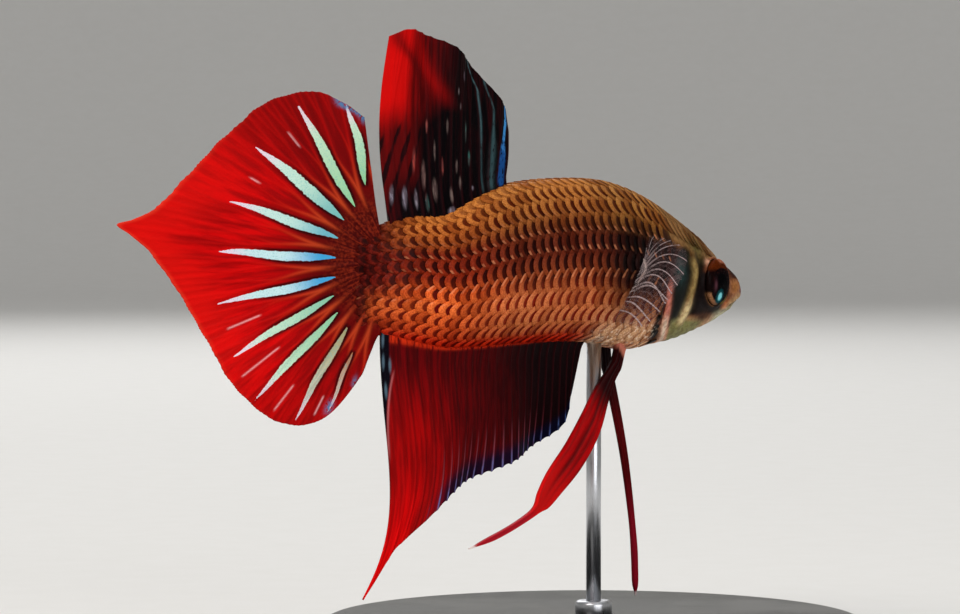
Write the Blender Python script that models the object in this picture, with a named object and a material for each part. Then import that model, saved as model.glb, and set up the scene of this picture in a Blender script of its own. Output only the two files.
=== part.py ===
"""Short-finned betta (Betta splendens), a male with a spade tail, as a still model of life size.

The fish hovers level with its body bent: the tail fan lies along the X axis, and from there the
body curves until the head points away, towards +X and +Y. Its right flank faces -Y. One steel rod
on a flat round base holds it up just behind the pelvic fins. Pieces are shaped in millimetres and
turned to metres at the end. The origin is the middle of the base's underside, below the rod.

Places on the fish are given as a station (distance forward from the root of the tail fin, along
the bent middle of the body), a side (distance to the fish's right) and a level (height above the
fish's own level line).
"""
import math

import bmesh
import bpy
from mathutils import Vector

MM = 0.001
GAP = 0.3                     # clearance between neighbouring pieces

# The fish as a whole
STANDARD_LENGTH = 42.5        # tip of the snout to the root of the tail fin
FISH_LEVEL = 29.0             # height of the level line above the table
ROD_STATION = 24.9            # where the rod meets the belly, under the centre of mass

# Station, level of the back, level of the belly, half width, heading in degrees away from +X
BODY = (
    (0.0, 6.2, -2.1, 1.1, 4.0),
    (3.0, 7.1, -2.8, 1.55, 29.0),
    (6.0, 7.1, -3.35, 2.1, 41.0),
    (10.0, 8.6, -3.4, 2.75, 47.5),
    (14.0, 9.55, -3.3, 3.2, 50.0),
    (20.0, 9.9, -3.25, 3.6, 51.5),
    (25.0, 9.75, -3.6, 3.8, 51.5),
    (28.0, 9.2, -4.15, 3.85, 49.5),
    (31.0, 8.15, -4.0, 3.8, 46.5),
    (34.0, 6.7, -3.65, 3.4, 43.5),
    (37.0, 5.0, -2.85, 2.85, 42.0),
    (39.8, 3.1, -1.85, 2.1, 41.5),
    (42.5, 1.3, -0.35, 1.0, 41.5),
)
SNOUT_LEVEL = 0.5             # where the snout closes to its tip
SNOUT_ROUNDING = 1.2          # length of the rounded tip
STEP = 0.05                   # pace at which the bent middle of the body is traced

# Where the body is divided
HEAD_STATION = 29.3
TRUNK_STATION = 20.0
STALK_STATION = 9.0
AROUND = 24                   # faces round the body
ROW_LENGTH = 1.0              # faces along the body

# Eyes: flattened balls, turned a little forward
EYE_STATION = 37.5
EYE_LEVEL = 1.2
EYE_SIDE = 2.58
EYE_RADIUS = 1.98
EYE_DEPTH = 0.7
EYE_TURN = 20.0

# Lower jaw: what lies under the mouth's cleft
JAW_STATION = 38.7
JAW_REAR_LEVEL = -1.4
JAW_FRONT_LEVEL = 0.15

# Gill cover: level, rear station, front station
GILL_COVER = (
    (-2.95, 31.7, 34.0),
    (-1.4, 30.5, 34.8),
    (0.8, 30.0, 35.4),
    (2.8, 30.4, 35.3),
    (4.1, 31.6, 34.6),
)
GILL_COVER_THICKNESS = 0.55

# Fins. Fractions run from the front ray (0) to the last ray (1), or from the top of the tail down
FIN_ROOT = 0.9                # thickness where a fin leaves the body
FIN_MARGIN = 0.5              # thickness at its free edge
DORSAL_ROOT = (13.1, 1.4)
DORSAL_TIPS = (               # fraction, station, level
    (0.0, 13.3, 15.2), (0.14, 11.7, 16.7), (0.29, 9.9, 18.5), (0.5, 7.3, 20.1),
    (0.7, 4.9, 21.0), (0.88, 2.9, 21.4), (1.0, 1.4, 20.8),
)
ANAL_ROOT = (23.3, 0.7)
ANAL_TIPS = (
    (0.0, 21.7, -7.6), (0.1, 20.2, -10.0), (0.3, 16.2, -11.9), (0.5, 11.7, -13.2),
    (0.7, 7.3, -14.5), (0.84, 4.4, -16.8), (0.93, 2.0, -19.0), (1.0, -0.8, -22.8),
)
TAIL_HUB = (1.4, 3.53)        # station and level that the tail's rays fan out from
TAIL_ROOT = (5.8, -1.9)       # levels of the first and last ray at the root
TAIL_TIPS = (                 # fraction, angle above the line to the rear, distance from the hub
    (0.0, 80.0, 11.3), (0.05, 73.0, 12.9), (0.1, 65.0, 14.5), (0.19, 50.0, 15.6),
    (0.27, 38.0, 15.9), (0.36, 24.0, 16.9), (0.43, 13.0, 18.5), (0.464, 7.7, 21.1),
    (0.5, 2.0, 18.4), (0.59, -12.0, 16.1), (0.67, -25.0, 15.4), (0.8, -45.0, 15.4),
    (0.89, -59.0, 14.8), (0.95, -68.0, 12.9), (1.0, -76.0, 9.0),
)
# Pelvic fins: fraction of the length, station, level, side, width
PELVIC_RIGHT = (
    (0.0, 27.1, -4.55, 1.1, 1.1), (0.12, 25.3, -6.1, 1.4, 1.3), (0.25, 23.6, -7.7, 1.7, 2.1),
    (0.4, 21.6, -9.9, 2.1, 2.8), (0.55, 19.0, -12.3, 2.5, 2.6), (0.68, 16.3, -14.4, 2.8, 1.9),
    (0.76, 14.4, -15.75, 3.0, 1.0), (0.82, 12.7, -16.5, 3.1, 0.6), (0.91, 9.4, -17.65, 3.2, 0.5),
    (1.0, 6.1, -18.7, 3.2, 0.5),
)
PELVIC_LEFT = (
    (0.0, 27.7, -4.6, -1.1, 1.0), (0.2, 29.3, -8.0, -1.5, 1.1), (0.4, 30.9, -12.2, -1.9, 1.0),
    (0.6, 31.9, -16.2, -2.1, 0.8), (0.8, 32.6, -20.5, -2.2, 0.6), (1.0, 32.8, -24.8, -2.2, 0.5),
)
PECTORAL_ROOT = ((26.6, 2.7), (24.1, -1.6))     # station and level of the first and last ray
PECTORAL_TIPS = (             # fraction, station, level, side
    (0.0, 26.2, 5.2, 4.7), (0.2, 26.9, 4.9, 6.1), (0.4, 26.8, 4.0, 7.9), (0.6, 25.6, 2.3, 8.5),
    (0.75, 24.6, 0.8, 8.1), (0.9, 24.4, -1.2, 6.6), (1.0, 24.2, -2.1, 5.2),
)
PECTORAL_ARCH = 0.9           # how far the rays arch above their chords

# Stand
BASE_RADIUS = 22.0
BASE_HEIGHT = 3.2
BASE_CHAMFER = 0.6
BASE_SIDES = 64
ROD_RADIUS = 0.6
ROD_SIDES = 16
ROD_SEAT = 2.0                # how far the rod goes into the base
ROD_GRIP = 1.5                # how far it goes into the belly

ORANGE = (0.35, 0.09, 0.03)
BROWN = (0.12, 0.05, 0.02)
RED = (0.45, 0.01, 0.01)
MAROON = (0.12, 0.01, 0.02)
PALE = (0.4, 0.33, 0.3)
BLACK = (0.01, 0.01, 0.012)
OLIVE = (0.12, 0.1, 0.05)
STEEL = (0.6, 0.6, 0.6)
STAND_BLACK = (0.03, 0.03, 0.03)

for leftover in list(bpy.data.objects):
    bpy.data.objects.remove(leftover)


# ---- Measures along the body

def along(rows, column, at):
    """Smooth curve through one column of a table, read at a value of its first column."""
    last = len(rows) - 1
    low = 0
    while low < last - 1 and rows[low + 1][0] <= at:
        low += 1
    high = low + 1

    def slope(index):
        before, after = rows[max(index - 1, 0)], rows[min(index + 1, last)]
        return (after[column] - before[column]) / (after[0] - before[0])

    span = rows[high][0] - rows[low][0]
    part = (at - rows[low][0]) / span
    start, end = rows[low][column], rows[high][column]
    ease = part * part * (3 - 2 * part)
    leave = part * (1 - part) ** 2 * span * slope(low)
    arrive = part * part * (part - 1) * span * slope(high)
    return start + (end - start) * ease + leave + arrive


def blend(start, end, part):
    return start + (end - start) * part


def trace_middle():
    """The bent middle of the body in plan, as points one pace apart with their headings."""
    x, y = 0.0, 0.0
    points = []
    for pace in range(round(STANDARD_LENGTH / STEP) + 1):
        heading = math.radians(along(BODY, 4, pace * STEP))
        points.append((x, y, heading))
        x += STEP * math.cos(heading)
        y += STEP * math.sin(heading)
    return points


MIDDLE = trace_middle()


def middle_at(station):
    """Plan position and heading at a station; past either end the middle runs on straight."""
    inside = min(max(station, 0.0), STANDARD_LENGTH)
    index = min(int(inside / STEP), len(MIDDLE) - 2)
    part = inside / STEP - index
    x, y, heading = (blend(a, b, part) for a, b in zip(MIDDLE[index], MIDDLE[index + 1]))
    beyond = station - inside
    return x + beyond * math.cos(heading), y + beyond * math.sin(heading), heading


ROD_X, ROD_Y, ROD_HEADING = middle_at(ROD_STATION)


def place(station, side, level):
    """A place on or beside the fish, in millimetres from the model's origin."""
    x, y, heading = middle_at(station)
    return Vector((x - ROD_X + side * math.sin(heading),
                   y - ROD_Y - side * math.cos(heading),
                   level + FISH_LEVEL))


def section(station):
    """Middle level, half height and half width of the body's section."""
    back, belly, half_width = (along(BODY, column, station) for column in (1, 2, 3))
    to_tip = min((STANDARD_LENGTH - station) / SNOUT_ROUNDING, 1.0)
    closing = math.sqrt(max(1 - (1 - to_tip) ** 2, 0.0))
    level = blend(SNOUT_LEVEL, (back + belly) / 2, closing)
    return level, closing * (back - belly) / 2, closing * half_width


def fullness(station):
    """Power that squares the section off: a lens at the tail, a fuller oval at the head."""
    return blend(1.0, 0.8, station / STANDARD_LENGTH)


def body_point(station, angle):
    """Point on the body's surface, with angle 0 at the back and a quarter turn at the right."""
    level, half_height, half_width = section(station)
    across = math.sin(angle)
    side = math.copysign(abs(across) ** fullness(station), across) * half_width
    return place(station, side, level + half_height * math.cos(angle))


def flank(station, level):
    """Half width of the body at a level."""
    middle, half_height, half_width = section(station)
    cosine = min(max((level - middle) / half_height, -1.0), 1.0)
    return half_width * math.sqrt(1 - cosine * cosine) ** fullness(station)


# ---- Making solids

def add_object(name, bm, colour, roughness=0.5, metallic=0.0):
    """Turn a shape in millimetres into a named object with its own material."""
    bm.normal_update()
    bmesh.ops.recalc_face_normals(bm, faces=bm.faces[:])
    bmesh.ops.scale(bm, vec=(MM, MM, MM), verts=bm.verts[:])
    mesh = bpy.data.meshes.new(name)
    bm.to_mesh(mesh)
    bm.free()
    material = bpy.data.materials.new(name)
    material.use_nodes = True
    shader = material.node_tree.nodes["Principled BSDF"]
    shader.inputs["Base Color"].default_value = (*colour, 1.0)
    shader.inputs["Roughness"].default_value = roughness
    shader.inputs["Metallic"].default_value = metallic
    mesh.materials.append(material)
    mesh.shade_smooth()
    mesh.set_sharp_from_angle(angle=math.radians(40))
    made = bpy.data.objects.new(name, mesh)
    bpy.context.scene.collection.objects.link(made)
    return made


def boolean(target, tool, operation):
    """Cut a target by a tool, which stays in the file as a wire guide."""
    modifier = target.modifiers.new(tool.name, "BOOLEAN")
    modifier.operation = operation
    modifier.solver = "EXACT"
    modifier.object = tool
    tool.hide_render = True
    tool.display_type = "WIRE"


def plate(columns, rows, shape):
    """Plate split into columns and rows on both faces; shape places (column, row, face) in 0 to 1."""
    bm = bmesh.new()
    bmesh.ops.create_grid(bm, x_segments=columns, y_segments=rows, size=0.5)
    raised = bmesh.ops.extrude_face_region(bm, geom=bm.faces[:], use_keep_orig=True)["geom"]
    bmesh.ops.translate(bm, vec=(0, 0, 1), verts=[v for v in raised if isinstance(v, bmesh.types.BMVert)])
    for vert in bm.verts:
        vert.co = shape(vert.co.x + 0.5, vert.co.y + 0.5, vert.co.z)
    return bm


def fin(name, surface, columns, rows, colour, root=FIN_ROOT, margin=FIN_MARGIN):
    """Fin on a middle surface(fraction, reach), thick at the root and thin at its free edge."""
    nudge = 0.002

    def shape(fraction, reach, face):
        across = surface(min(fraction + nudge, 1), reach) - surface(max(fraction - nudge, 0), reach)
        out = surface(fraction, min(reach + nudge, 1)) - surface(fraction, max(reach - nudge, 0))
        thickness = blend(root, margin, min(reach * 2.5, 1.0))
        return surface(fraction, reach) + across.cross(out).normalized() * thickness * (face - 0.5)

    return add_object(name, plate(columns, rows, shape), colour)


# ---- Body

def body_length(name, start, stop, colour, crowding=1.0):
    """Length of the body between two stations; crowding above 1 gathers the rows at the front."""
    rows = round((stop - start) / ROW_LENGTH) + 1
    bm = bmesh.new()
    bmesh.ops.create_grid(bm, x_segments=AROUND, y_segments=rows, size=0.5)
    for vert in bm.verts:
        station = stop - (stop - start) * (0.5 - vert.co.y) ** crowding
        vert.co = body_point(station, vert.co.x * 2 * math.pi)
    bmesh.ops.remove_doubles(bm, verts=bm.verts[:], dist=0.001)
    ends = [edge for edge in bm.edges if edge.is_boundary]
    bmesh.ops.holes_fill(bm, edges=ends, sides=AROUND)
    return add_object(name, bm, colour)


def head_shape(name, colour):
    return body_length(name, HEAD_STATION + GAP / 2, STANDARD_LENGTH, colour, crowding=1.5)


def jaw_tool(name, grown):
    """Block under the mouth's cleft; grown widens it by the clearance."""

    def shape(along_jaw, across, up):
        station = blend(JAW_STATION - grown, STANDARD_LENGTH + 1.5, along_jaw)
        slope = (JAW_FRONT_LEVEL - JAW_REAR_LEVEL) / (STANDARD_LENGTH - JAW_STATION)
        cleft = JAW_REAR_LEVEL + slope * (station - JAW_STATION) + grown
        return place(station, blend(-5.0, 5.0, across), blend(-6.0, cleft, up))

    return add_object(name, plate(1, 1, shape), OLIVE)


def gill_cover_tool(name, hand, grown):
    """Curved block that takes the gill cover out of the side of the head."""
    rows, columns = 8, 5
    low, high = GILL_COVER[0][0] - grown, GILL_COVER[-1][0] + grown

    def shape(across, up, face):
        level = blend(low, high, up)
        inside = min(max(level, GILL_COVER[0][0]), GILL_COVER[-1][0])
        rear = along(GILL_COVER, 1, inside) - grown
        front = along(GILL_COVER, 2, inside) + grown
        station = blend(rear, front, across)
        under = flank(station, level) - GILL_COVER_THICKNESS - grown
        return place(station, hand * blend(under, under + 2.0, face), level)

    return add_object(name, plate(columns, rows, shape), OLIVE)


def eye_shape(name, hand, grown, colour):
    """Flattened ball; hand is +1 at the fish's right and -1 at its left."""
    radius, depth = EYE_RADIUS + grown, EYE_DEPTH + grown
    bm = bmesh.new()
    bmesh.ops.create_uvsphere(bm, u_segments=20, v_segments=10, radius=1.0)
    heading = middle_at(EYE_STATION)[2]
    forward = Vector((math.cos(heading), math.sin(heading), 0))
    right = Vector((math.sin(heading), -math.cos(heading), 0))
    turn = math.radians(EYE_TURN)
    outward = right * hand * math.cos(turn) + forward * math.sin(turn)
    sideways = outward.cross(Vector((0, 0, 1)))
    centre = place(EYE_STATION, hand * EYE_SIDE, EYE_LEVEL)
    for vert in bm.verts:
        x, y, z = vert.co
        vert.co = centre + sideways * x * radius + Vector((0, 0, y * radius)) + outward * z * depth
    return add_object(name, bm, colour, roughness=0.15)


head = head_shape("head", BROWN)
lower_jaw = head_shape("lower_jaw", OLIVE)
boolean(lower_jaw, jaw_tool("jaw_block", 0.0), "INTERSECT")
boolean(head, jaw_tool("jaw_cut", GAP), "DIFFERENCE")
for side_name, hand in (("right", 1), ("left", -1)):
    gill_cover = head_shape("gill_cover_" + side_name, OLIVE)
    boolean(gill_cover, gill_cover_tool("gill_block_" + side_name, hand, 0.0), "INTERSECT")
    boolean(head, gill_cover_tool("gill_cut_" + side_name, hand, GAP), "DIFFERENCE")
    eye_shape("eye_" + side_name, hand, 0.0, BLACK)
    boolean(head, eye_shape("eye_socket_" + side_name, hand, GAP, BLACK), "DIFFERENCE")

trunk = body_length("trunk", TRUNK_STATION + GAP / 2, HEAD_STATION - GAP / 2, ORANGE)
body_length("tail_body", STALK_STATION + GAP / 2, TRUNK_STATION - GAP / 2, ORANGE)
body_length("tail_stalk", 0.0, STALK_STATION - GAP / 2, ORANGE)


# ---- Fins on the midline

def dorsal_surface(fraction, reach):
    root = blend(*DORSAL_ROOT, fraction)
    root_level = along(BODY, 1, root) + GAP + 0.05
    bow = (0.5 - 1.3 * fraction) * math.sin(math.pi * reach)
    ripple = 0.4 * reach ** 2 * math.sin(2.5 * 2 * math.pi * fraction)
    station = blend(root, along(DORSAL_TIPS, 1, fraction), reach) + bow
    return place(station, ripple, blend(root_level, along(DORSAL_TIPS, 2, fraction), reach))


def anal_surface(fraction, reach):
    root = blend(*ANAL_ROOT, fraction)
    root_level = along(BODY, 2, root) - GAP - 0.05
    bow = 1.0 * fraction ** 2 * math.sin(math.pi * reach ** 1.4)
    ripple = 0.4 * reach ** 2 * math.sin(3 * 2 * math.pi * fraction)
    station = blend(root, along(ANAL_TIPS, 1, fraction), reach) + bow
    return place(station, ripple, blend(root_level, along(ANAL_TIPS, 2, fraction), reach))


def tail_surface(fraction, reach):
    angle = math.radians(along(TAIL_TIPS, 1, fraction))
    distance = along(TAIL_TIPS, 2, fraction)
    station = blend(-GAP, TAIL_HUB[0] - distance * math.cos(angle), reach)
    level = blend(blend(*TAIL_ROOT, fraction), TAIL_HUB[1] + distance * math.sin(angle), reach)
    ripple = 0.5 * reach ** 2 * math.sin(3 * 2 * math.pi * fraction)
    return place(station, ripple, level)


fin("dorsal_fin", dorsal_surface, 18, 8, RED)
fin("anal_fin", anal_surface, 28, 9, RED)
fin("tail_fin", tail_surface, 28, 9, RED, root=1.5)


# ---- Paired fins

def pelvic_surface(rows):
    """Narrow leaf along a table's line, broad across it and drawn out to a thread."""

    def surface(fraction, reach):
        station, level, side, width = (along(rows, column, reach) for column in (1, 2, 3, 4))
        ahead, behind = min(reach + 0.01, 1.0), max(reach - 0.01, 0.0)
        run = along(rows, 1, ahead) - along(rows, 1, behind)
        drop = along(rows, 2, ahead) - along(rows, 2, behind)
        off = (fraction - 0.5) * width / math.hypot(run, drop)
        return place(station - drop * off, side, level + run * off)

    return surface


def pectoral_surface(hand):
    """Fan held straight out from the flank, its rays arched; hand is +1 at the right."""

    def surface(fraction, reach):
        root_station, root_level = (blend(*ends, fraction) for ends in zip(*PECTORAL_ROOT))
        root_side = flank(root_station, root_level) + GAP + 0.15
        station, level, side = (along(PECTORAL_TIPS, column, fraction) for column in (1, 2, 3))
        arch = PECTORAL_ARCH * math.sin(math.pi * reach) * math.sin(math.pi * fraction)
        return place(blend(root_station, station, reach), hand * blend(root_side, side, reach),
                     blend(root_level, level, reach) + arch)

    return surface


fin("pelvic_fin_right", pelvic_surface(PELVIC_RIGHT), 4, 20, RED, root=0.6)
fin("pelvic_fin_left", pelvic_surface(PELVIC_LEFT), 4, 16, RED, root=0.6)
fin("pectoral_fin_right", pectoral_surface(1), 11, 7, PALE, root=0.6)
fin("pectoral_fin_left", pectoral_surface(-1), 11, 7, PALE, root=0.6)


# ---- Stand

def upright_cylinder(name, radius, bottom, top, sides, colour, metallic=0.0):
    bm = bmesh.new()
    bmesh.ops.create_cone(bm, cap_ends=True, segments=sides, radius1=radius, radius2=radius,
                          depth=top - bottom)
    bmesh.ops.translate(bm, vec=(0, 0, (top + bottom) / 2), verts=bm.verts[:])
    return add_object(name, bm, colour, roughness=0.35, metallic=metallic)


rod_top = FISH_LEVEL + along(BODY, 2, ROD_STATION) + ROD_GRIP
rod_foot = BASE_HEIGHT - ROD_SEAT
stand_base = upright_cylinder("stand_base", BASE_RADIUS, 0.0, BASE_HEIGHT, BASE_SIDES, STAND_BLACK)
chamfer = stand_base.modifiers.new("chamfer", "BEVEL")
chamfer.width = BASE_CHAMFER * MM
chamfer.segments = 1
chamfer.limit_method = "ANGLE"
chamfer.angle_limit = math.radians(60)
upright_cylinder("stand_rod", ROD_RADIUS, rod_foot, rod_top, ROD_SIDES, STEEL, metallic=1.0)
seat = upright_cylinder("rod_seat", ROD_RADIUS + GAP, rod_foot - GAP, BASE_HEIGHT + 1, ROD_SIDES, STEEL)
boolean(stand_base, seat, "DIFFERENCE")
socket = upright_cylinder("rod_socket", ROD_RADIUS + GAP, BASE_HEIGHT + 2, rod_top + GAP, ROD_SIDES, STEEL)
boolean(trunk, socket, "DIFFERENCE")
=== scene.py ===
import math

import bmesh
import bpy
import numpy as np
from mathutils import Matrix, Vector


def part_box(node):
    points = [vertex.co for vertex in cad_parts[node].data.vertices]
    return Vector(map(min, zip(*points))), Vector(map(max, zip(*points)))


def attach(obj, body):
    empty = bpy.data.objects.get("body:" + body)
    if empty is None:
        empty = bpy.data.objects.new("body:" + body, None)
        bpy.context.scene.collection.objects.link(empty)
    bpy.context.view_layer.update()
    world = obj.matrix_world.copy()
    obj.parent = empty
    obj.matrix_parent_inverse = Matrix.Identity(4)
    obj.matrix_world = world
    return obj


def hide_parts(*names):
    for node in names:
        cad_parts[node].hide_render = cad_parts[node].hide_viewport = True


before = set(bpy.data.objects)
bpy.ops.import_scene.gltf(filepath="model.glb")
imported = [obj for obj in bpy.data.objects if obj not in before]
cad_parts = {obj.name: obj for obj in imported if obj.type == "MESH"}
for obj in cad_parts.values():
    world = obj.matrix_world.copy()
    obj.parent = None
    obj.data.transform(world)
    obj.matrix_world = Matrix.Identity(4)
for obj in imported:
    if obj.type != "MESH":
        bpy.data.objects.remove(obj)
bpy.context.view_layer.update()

# Male short-finned betta with a spade tail, as a life-size museum model: a painted cast body with
# laid-on scales, cast fins and glass eyes, held by a steel rod on a black base. Shapes are worked
# out in millimetres and turned to metres as each piece is made. The origin is the middle of the
# base's underside; the fish's right flank faces -Y, and its head points towards +X and +Y.
#
# Places on the fish are a station (distance forward from the root of the tail fin along the bent
# middle of the body), a side (distance to the fish's right) and a level (height above its own
# level line).


# ---- Skin
# The cast body from the snout to the root of the tail fin, one piece with no seam. The rims of the
# eyes, the mouth, nostrils, gill covers and gill openings are cast in. It is painted, and it lies
# under the scales by their depth.

MM = 0.001
STANDARD_LENGTH = 42.5
FISH_LEVEL = 29.0             # height of the level line above the table
ROD_STATION = 24.9            # where the rod meets the belly
PACE = 0.05                   # spacing at which the bent middle of the body is traced
# Station, level of the back, level of the belly, half width, heading in degrees away from +X
BODY = (
    (0.0, 6.2, -2.1, 1.1, 4.0), (3.0, 7.1, -2.8, 1.55, 29.0), (6.0, 7.1, -3.35, 2.1, 41.0),
    (10.0, 8.6, -3.4, 2.75, 47.5), (14.0, 9.55, -3.3, 3.2, 50.0), (20.0, 9.9, -3.25, 3.6, 51.5),
    (25.0, 9.75, -3.6, 3.8, 51.5), (28.0, 9.2, -4.15, 3.85, 49.5), (31.0, 8.15, -4.0, 3.8, 46.5),
    (34.0, 6.7, -3.65, 3.4, 43.5), (37.0, 5.0, -2.85, 2.85, 42.0), (39.8, 3.1, -1.85, 2.1, 41.5),
    (42.5, 1.3, -0.35, 1.0, 41.5),
)
SNOUT_LEVEL = 0.5             # where the snout closes to its tip
SNOUT_ROUNDING = 1.2          # length of the rounded tip
SLEEVE = 2.2                  # how far the flesh runs on over the root of the tail fin
COAT_DEPTH = 0.17             # depth of the scales
BARE_DEPTH = 0.12             # the same where the head is bare

EYE_STATION = 37.5
EYE_LEVEL = 1.2
EYE_SIDE = 2.58
EYE_TURN = 20.0               # degrees that each eye looks ahead of straight sideways
SOCKET_RADIUS = 1.84
SOCKET_DEPTH = 1.2
EYE_RIM_RADIUS = 2.0

# Station by level, from the bottom up: rear rim of the gill cover, and the bar across the cheek
GILL_RIM = ((-3.6, 31.4), (-3.0, 30.8), (-2.0, 30.3), (-0.5, 30.05), (1.0, 29.95), (2.6, 30.2),
            (3.7, 31.0), (4.3, 32.0))
CHEEK_BAR = ((-2.4, 33.0), (-1.8, 33.15), (-1.2, 33.35), (0.4, 33.75), (1.3, 34.05), (2.2, 34.3),
             (3.4, 34.1))
# Depth back from the rim that the gill opening gapes, by level
GILL_GAPE = ((-3.9, 1.3), (-2.5, 1.2), (-1.5, 0.85), (-0.5, 0.45), (0.6, 0.25), (4.3, 0.2))
# Station and level along the mouth's cleft
MOUTH = ((39.6, -1.1), (40.0, -0.85), (41.96, -0.25), (42.4, 0.16))
NOSTRILS = ((40.75, 1.5), (39.95, 2.15))


def along(rows, column, at):
    """Smooth curve through one column of a table, read at values of its first column."""
    knots, values = (np.array([row[index] for row in rows]) for index in (0, column))
    last = len(knots) - 1
    places = np.arange(last + 1)
    before, after = np.maximum(places - 1, 0), np.minimum(places + 1, last)
    slopes = (values[after] - values[before]) / (knots[after] - knots[before])
    low = np.clip(np.searchsorted(knots, at, side="right") - 1, 0, last - 1)
    span = knots[low + 1] - knots[low]
    part = (at - knots[low]) / span
    ease = part * part * (3 - 2 * part)
    leave = part * (1 - part) ** 2 * span * slopes[low]
    arrive = part * part * (part - 1) * span * slopes[low + 1]
    return values[low] + (values[low + 1] - values[low]) * ease + leave + arrive


def straight(rows, at):
    """Straight lines through a two-column table, level beyond its ends."""
    return np.interp(at, *zip(*rows))


def blend(start, end, part):
    return start + (end - start) * part


def rise(value, low, high):
    """Smooth step from 0 at low to 1 at high; it falls instead where low is the larger."""
    part = np.clip((value - low) / (high - low), 0.0, 1.0)
    return part * part * (3 - 2 * part)


def band(value, start, full, still_full, end):
    """Smooth step up to 1, and down again further on."""
    return rise(value, start, full) * rise(value, end, still_full)


def hump(value, middle, width):
    """Soft bump: 1 at the middle, fading over the width on both sides."""
    return np.exp(-((value - middle) / width) ** 2)


paces = np.arange(0.0, STANDARD_LENGTH + PACE / 2, PACE)
headings = np.radians(along(BODY, 4, paces))
middle_x, middle_y = (PACE * (np.cumsum(step) - step) for step in (np.cos(headings), np.sin(headings)))


def middle_at(station):
    """Plan position and heading at a station; past either end the middle runs on straight."""
    inside = np.clip(station, 0.0, STANDARD_LENGTH)
    x, y, heading = (np.interp(inside, paces, line) for line in (middle_x, middle_y, headings))
    beyond = station - inside
    return x + beyond * np.cos(heading), y + beyond * np.sin(heading), heading


rod_x, rod_y, _ = middle_at(ROD_STATION)


def place(station, side, level):
    """Places on or beside the fish, in millimetres from the model's origin."""
    station, side, level = np.broadcast_arrays(station, side, level)
    x, y, heading = middle_at(station)
    return np.stack([x - rod_x + side * np.sin(heading),
                     y - rod_y - side * np.cos(heading), level + FISH_LEVEL], axis=-1)


def body_size(station):
    """Level of the back, level of the belly and half width at a station."""
    return [along(BODY, column, np.maximum(station, 0.0)) for column in (1, 2, 3)]


def section(station, angle):
    """Side and level on the body's outline; angle 0 is at the back, a quarter turn at the right."""
    back, belly, half_width = body_size(station)
    half_width = half_width * blend(0.25, 1.0, rise(station, -SLEEVE, 0.8))
    to_tip = np.minimum((STANDARD_LENGTH - station) / SNOUT_ROUNDING, 1.0)
    closing = np.sqrt(np.maximum(1 - (1 - to_tip) ** 2, 0.0))
    fullness = blend(1.0, 0.8, station / STANDARD_LENGTH)
    across = np.sin(angle)
    side = np.copysign(np.abs(across) ** fullness, across) * closing * half_width
    middle = blend(SNOUT_LEVEL, (back + belly) / 2, closing)
    return side, middle + closing * (back - belly) / 2 * np.cos(angle)


def body_point(station, angle):
    return place(station, *section(station, angle))


# Arc lengths round the body, so that skin and scales can be spaced evenly over it
ring_stations = np.linspace(-SLEEVE, STANDARD_LENGTH - 0.02, 448)
ring_angles = np.linspace(0.0, math.pi, 241)
arc_shares = np.linspace(0.0, 1.0, 201)
rings = body_point(ring_stations[:, None], ring_angles[None])
ring_arcs = np.cumsum(np.linalg.norm(np.diff(rings, axis=1), axis=2), axis=1)
ring_arcs = np.concatenate([np.zeros((len(rings), 1)), ring_arcs], axis=1)
angle_table = np.array([np.interp(arc_shares, row / row[-1], ring_angles) for row in ring_arcs])


def half_girth(station):
    """Distance over the skin from the ridge of the back to the keel of the belly."""
    return np.interp(station, ring_stations, ring_arcs[:, -1])


def angle_at(station, arc):
    """Angle reached by going an arc round the body from the back, positive to the right."""
    share = (arc / half_girth(station) + 1) % 2 - 1
    row = np.interp(station, ring_stations, np.arange(len(ring_stations)))
    column = np.abs(share) * (len(arc_shares) - 1)
    low_row, low_column = (np.minimum(place_in.astype(int), size - 2)
                           for place_in, size in zip((row, column), angle_table.shape))
    near, far = (blend(*(angle_table[line, low_column + step] for step in (0, 1)), column - low_column)
                 for line in (low_row, low_row + 1))
    return np.copysign(blend(near, far, row - low_row), share)


def on_body(station, arc, lift):
    """Places at a station and an arc round the body, lifted off its outer surface."""
    inside = np.clip(station, PACE - SLEEVE, STANDARD_LENGTH - 0.06)
    angle = angle_at(inside, arc)
    turn = 0.01
    around = body_point(inside, angle + turn) - body_point(inside, angle - turn)
    ahead = body_point(inside + PACE, angle) - body_point(inside - PACE, angle)
    outward = np.cross(around, ahead)
    outward /= np.linalg.norm(outward, axis=-1, keepdims=True)
    surface = body_point(np.clip(station, -SLEEVE, STANDARD_LENGTH), angle)
    return surface + outward * np.asarray(lift)[..., None]


def eye_axes(hand):
    """Centre of an eye, and its outward, rearward and upward directions; hand is +1 at the right."""
    heading = middle_at(EYE_STATION)[2]
    forward = np.array((math.cos(heading), math.sin(heading), 0))
    right = np.array((math.sin(heading), -math.cos(heading), 0))
    turn = math.radians(EYE_TURN)
    outward = right * hand * math.cos(turn) + forward * math.sin(turn)
    rearward = right * hand * math.sin(turn) - forward * math.cos(turn)
    return place(EYE_STATION, hand * EYE_SIDE, EYE_LEVEL), outward, rearward, np.array((0, 0, 1))


def seen_from_eye(points, side):
    """How far places lie rearward and upward of the axis of the eye on their own side."""
    rear, up = (np.zeros(len(points)) for _ in range(2))
    for hand in (1, -1):
        centre, _, rearward, upward = eye_axes(hand)
        own = side * hand >= 0
        rear[own], up[own] = ((points[own] - centre) @ way for way in (rearward, upward))
    return rear, up


def head_places(station, level):
    """Distances behind the gill cover's rim and ahead of the cheek bar, and the gape behind the rim."""
    behind_rim = along(GILL_RIM, 1, np.clip(level, -3.6, 4.3)) - station
    ahead_of_bar = station - along(CHEEK_BAR, 1, np.clip(level, -2.4, 3.4))
    return behind_rim, ahead_of_bar, straight(GILL_GAPE, level)


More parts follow.
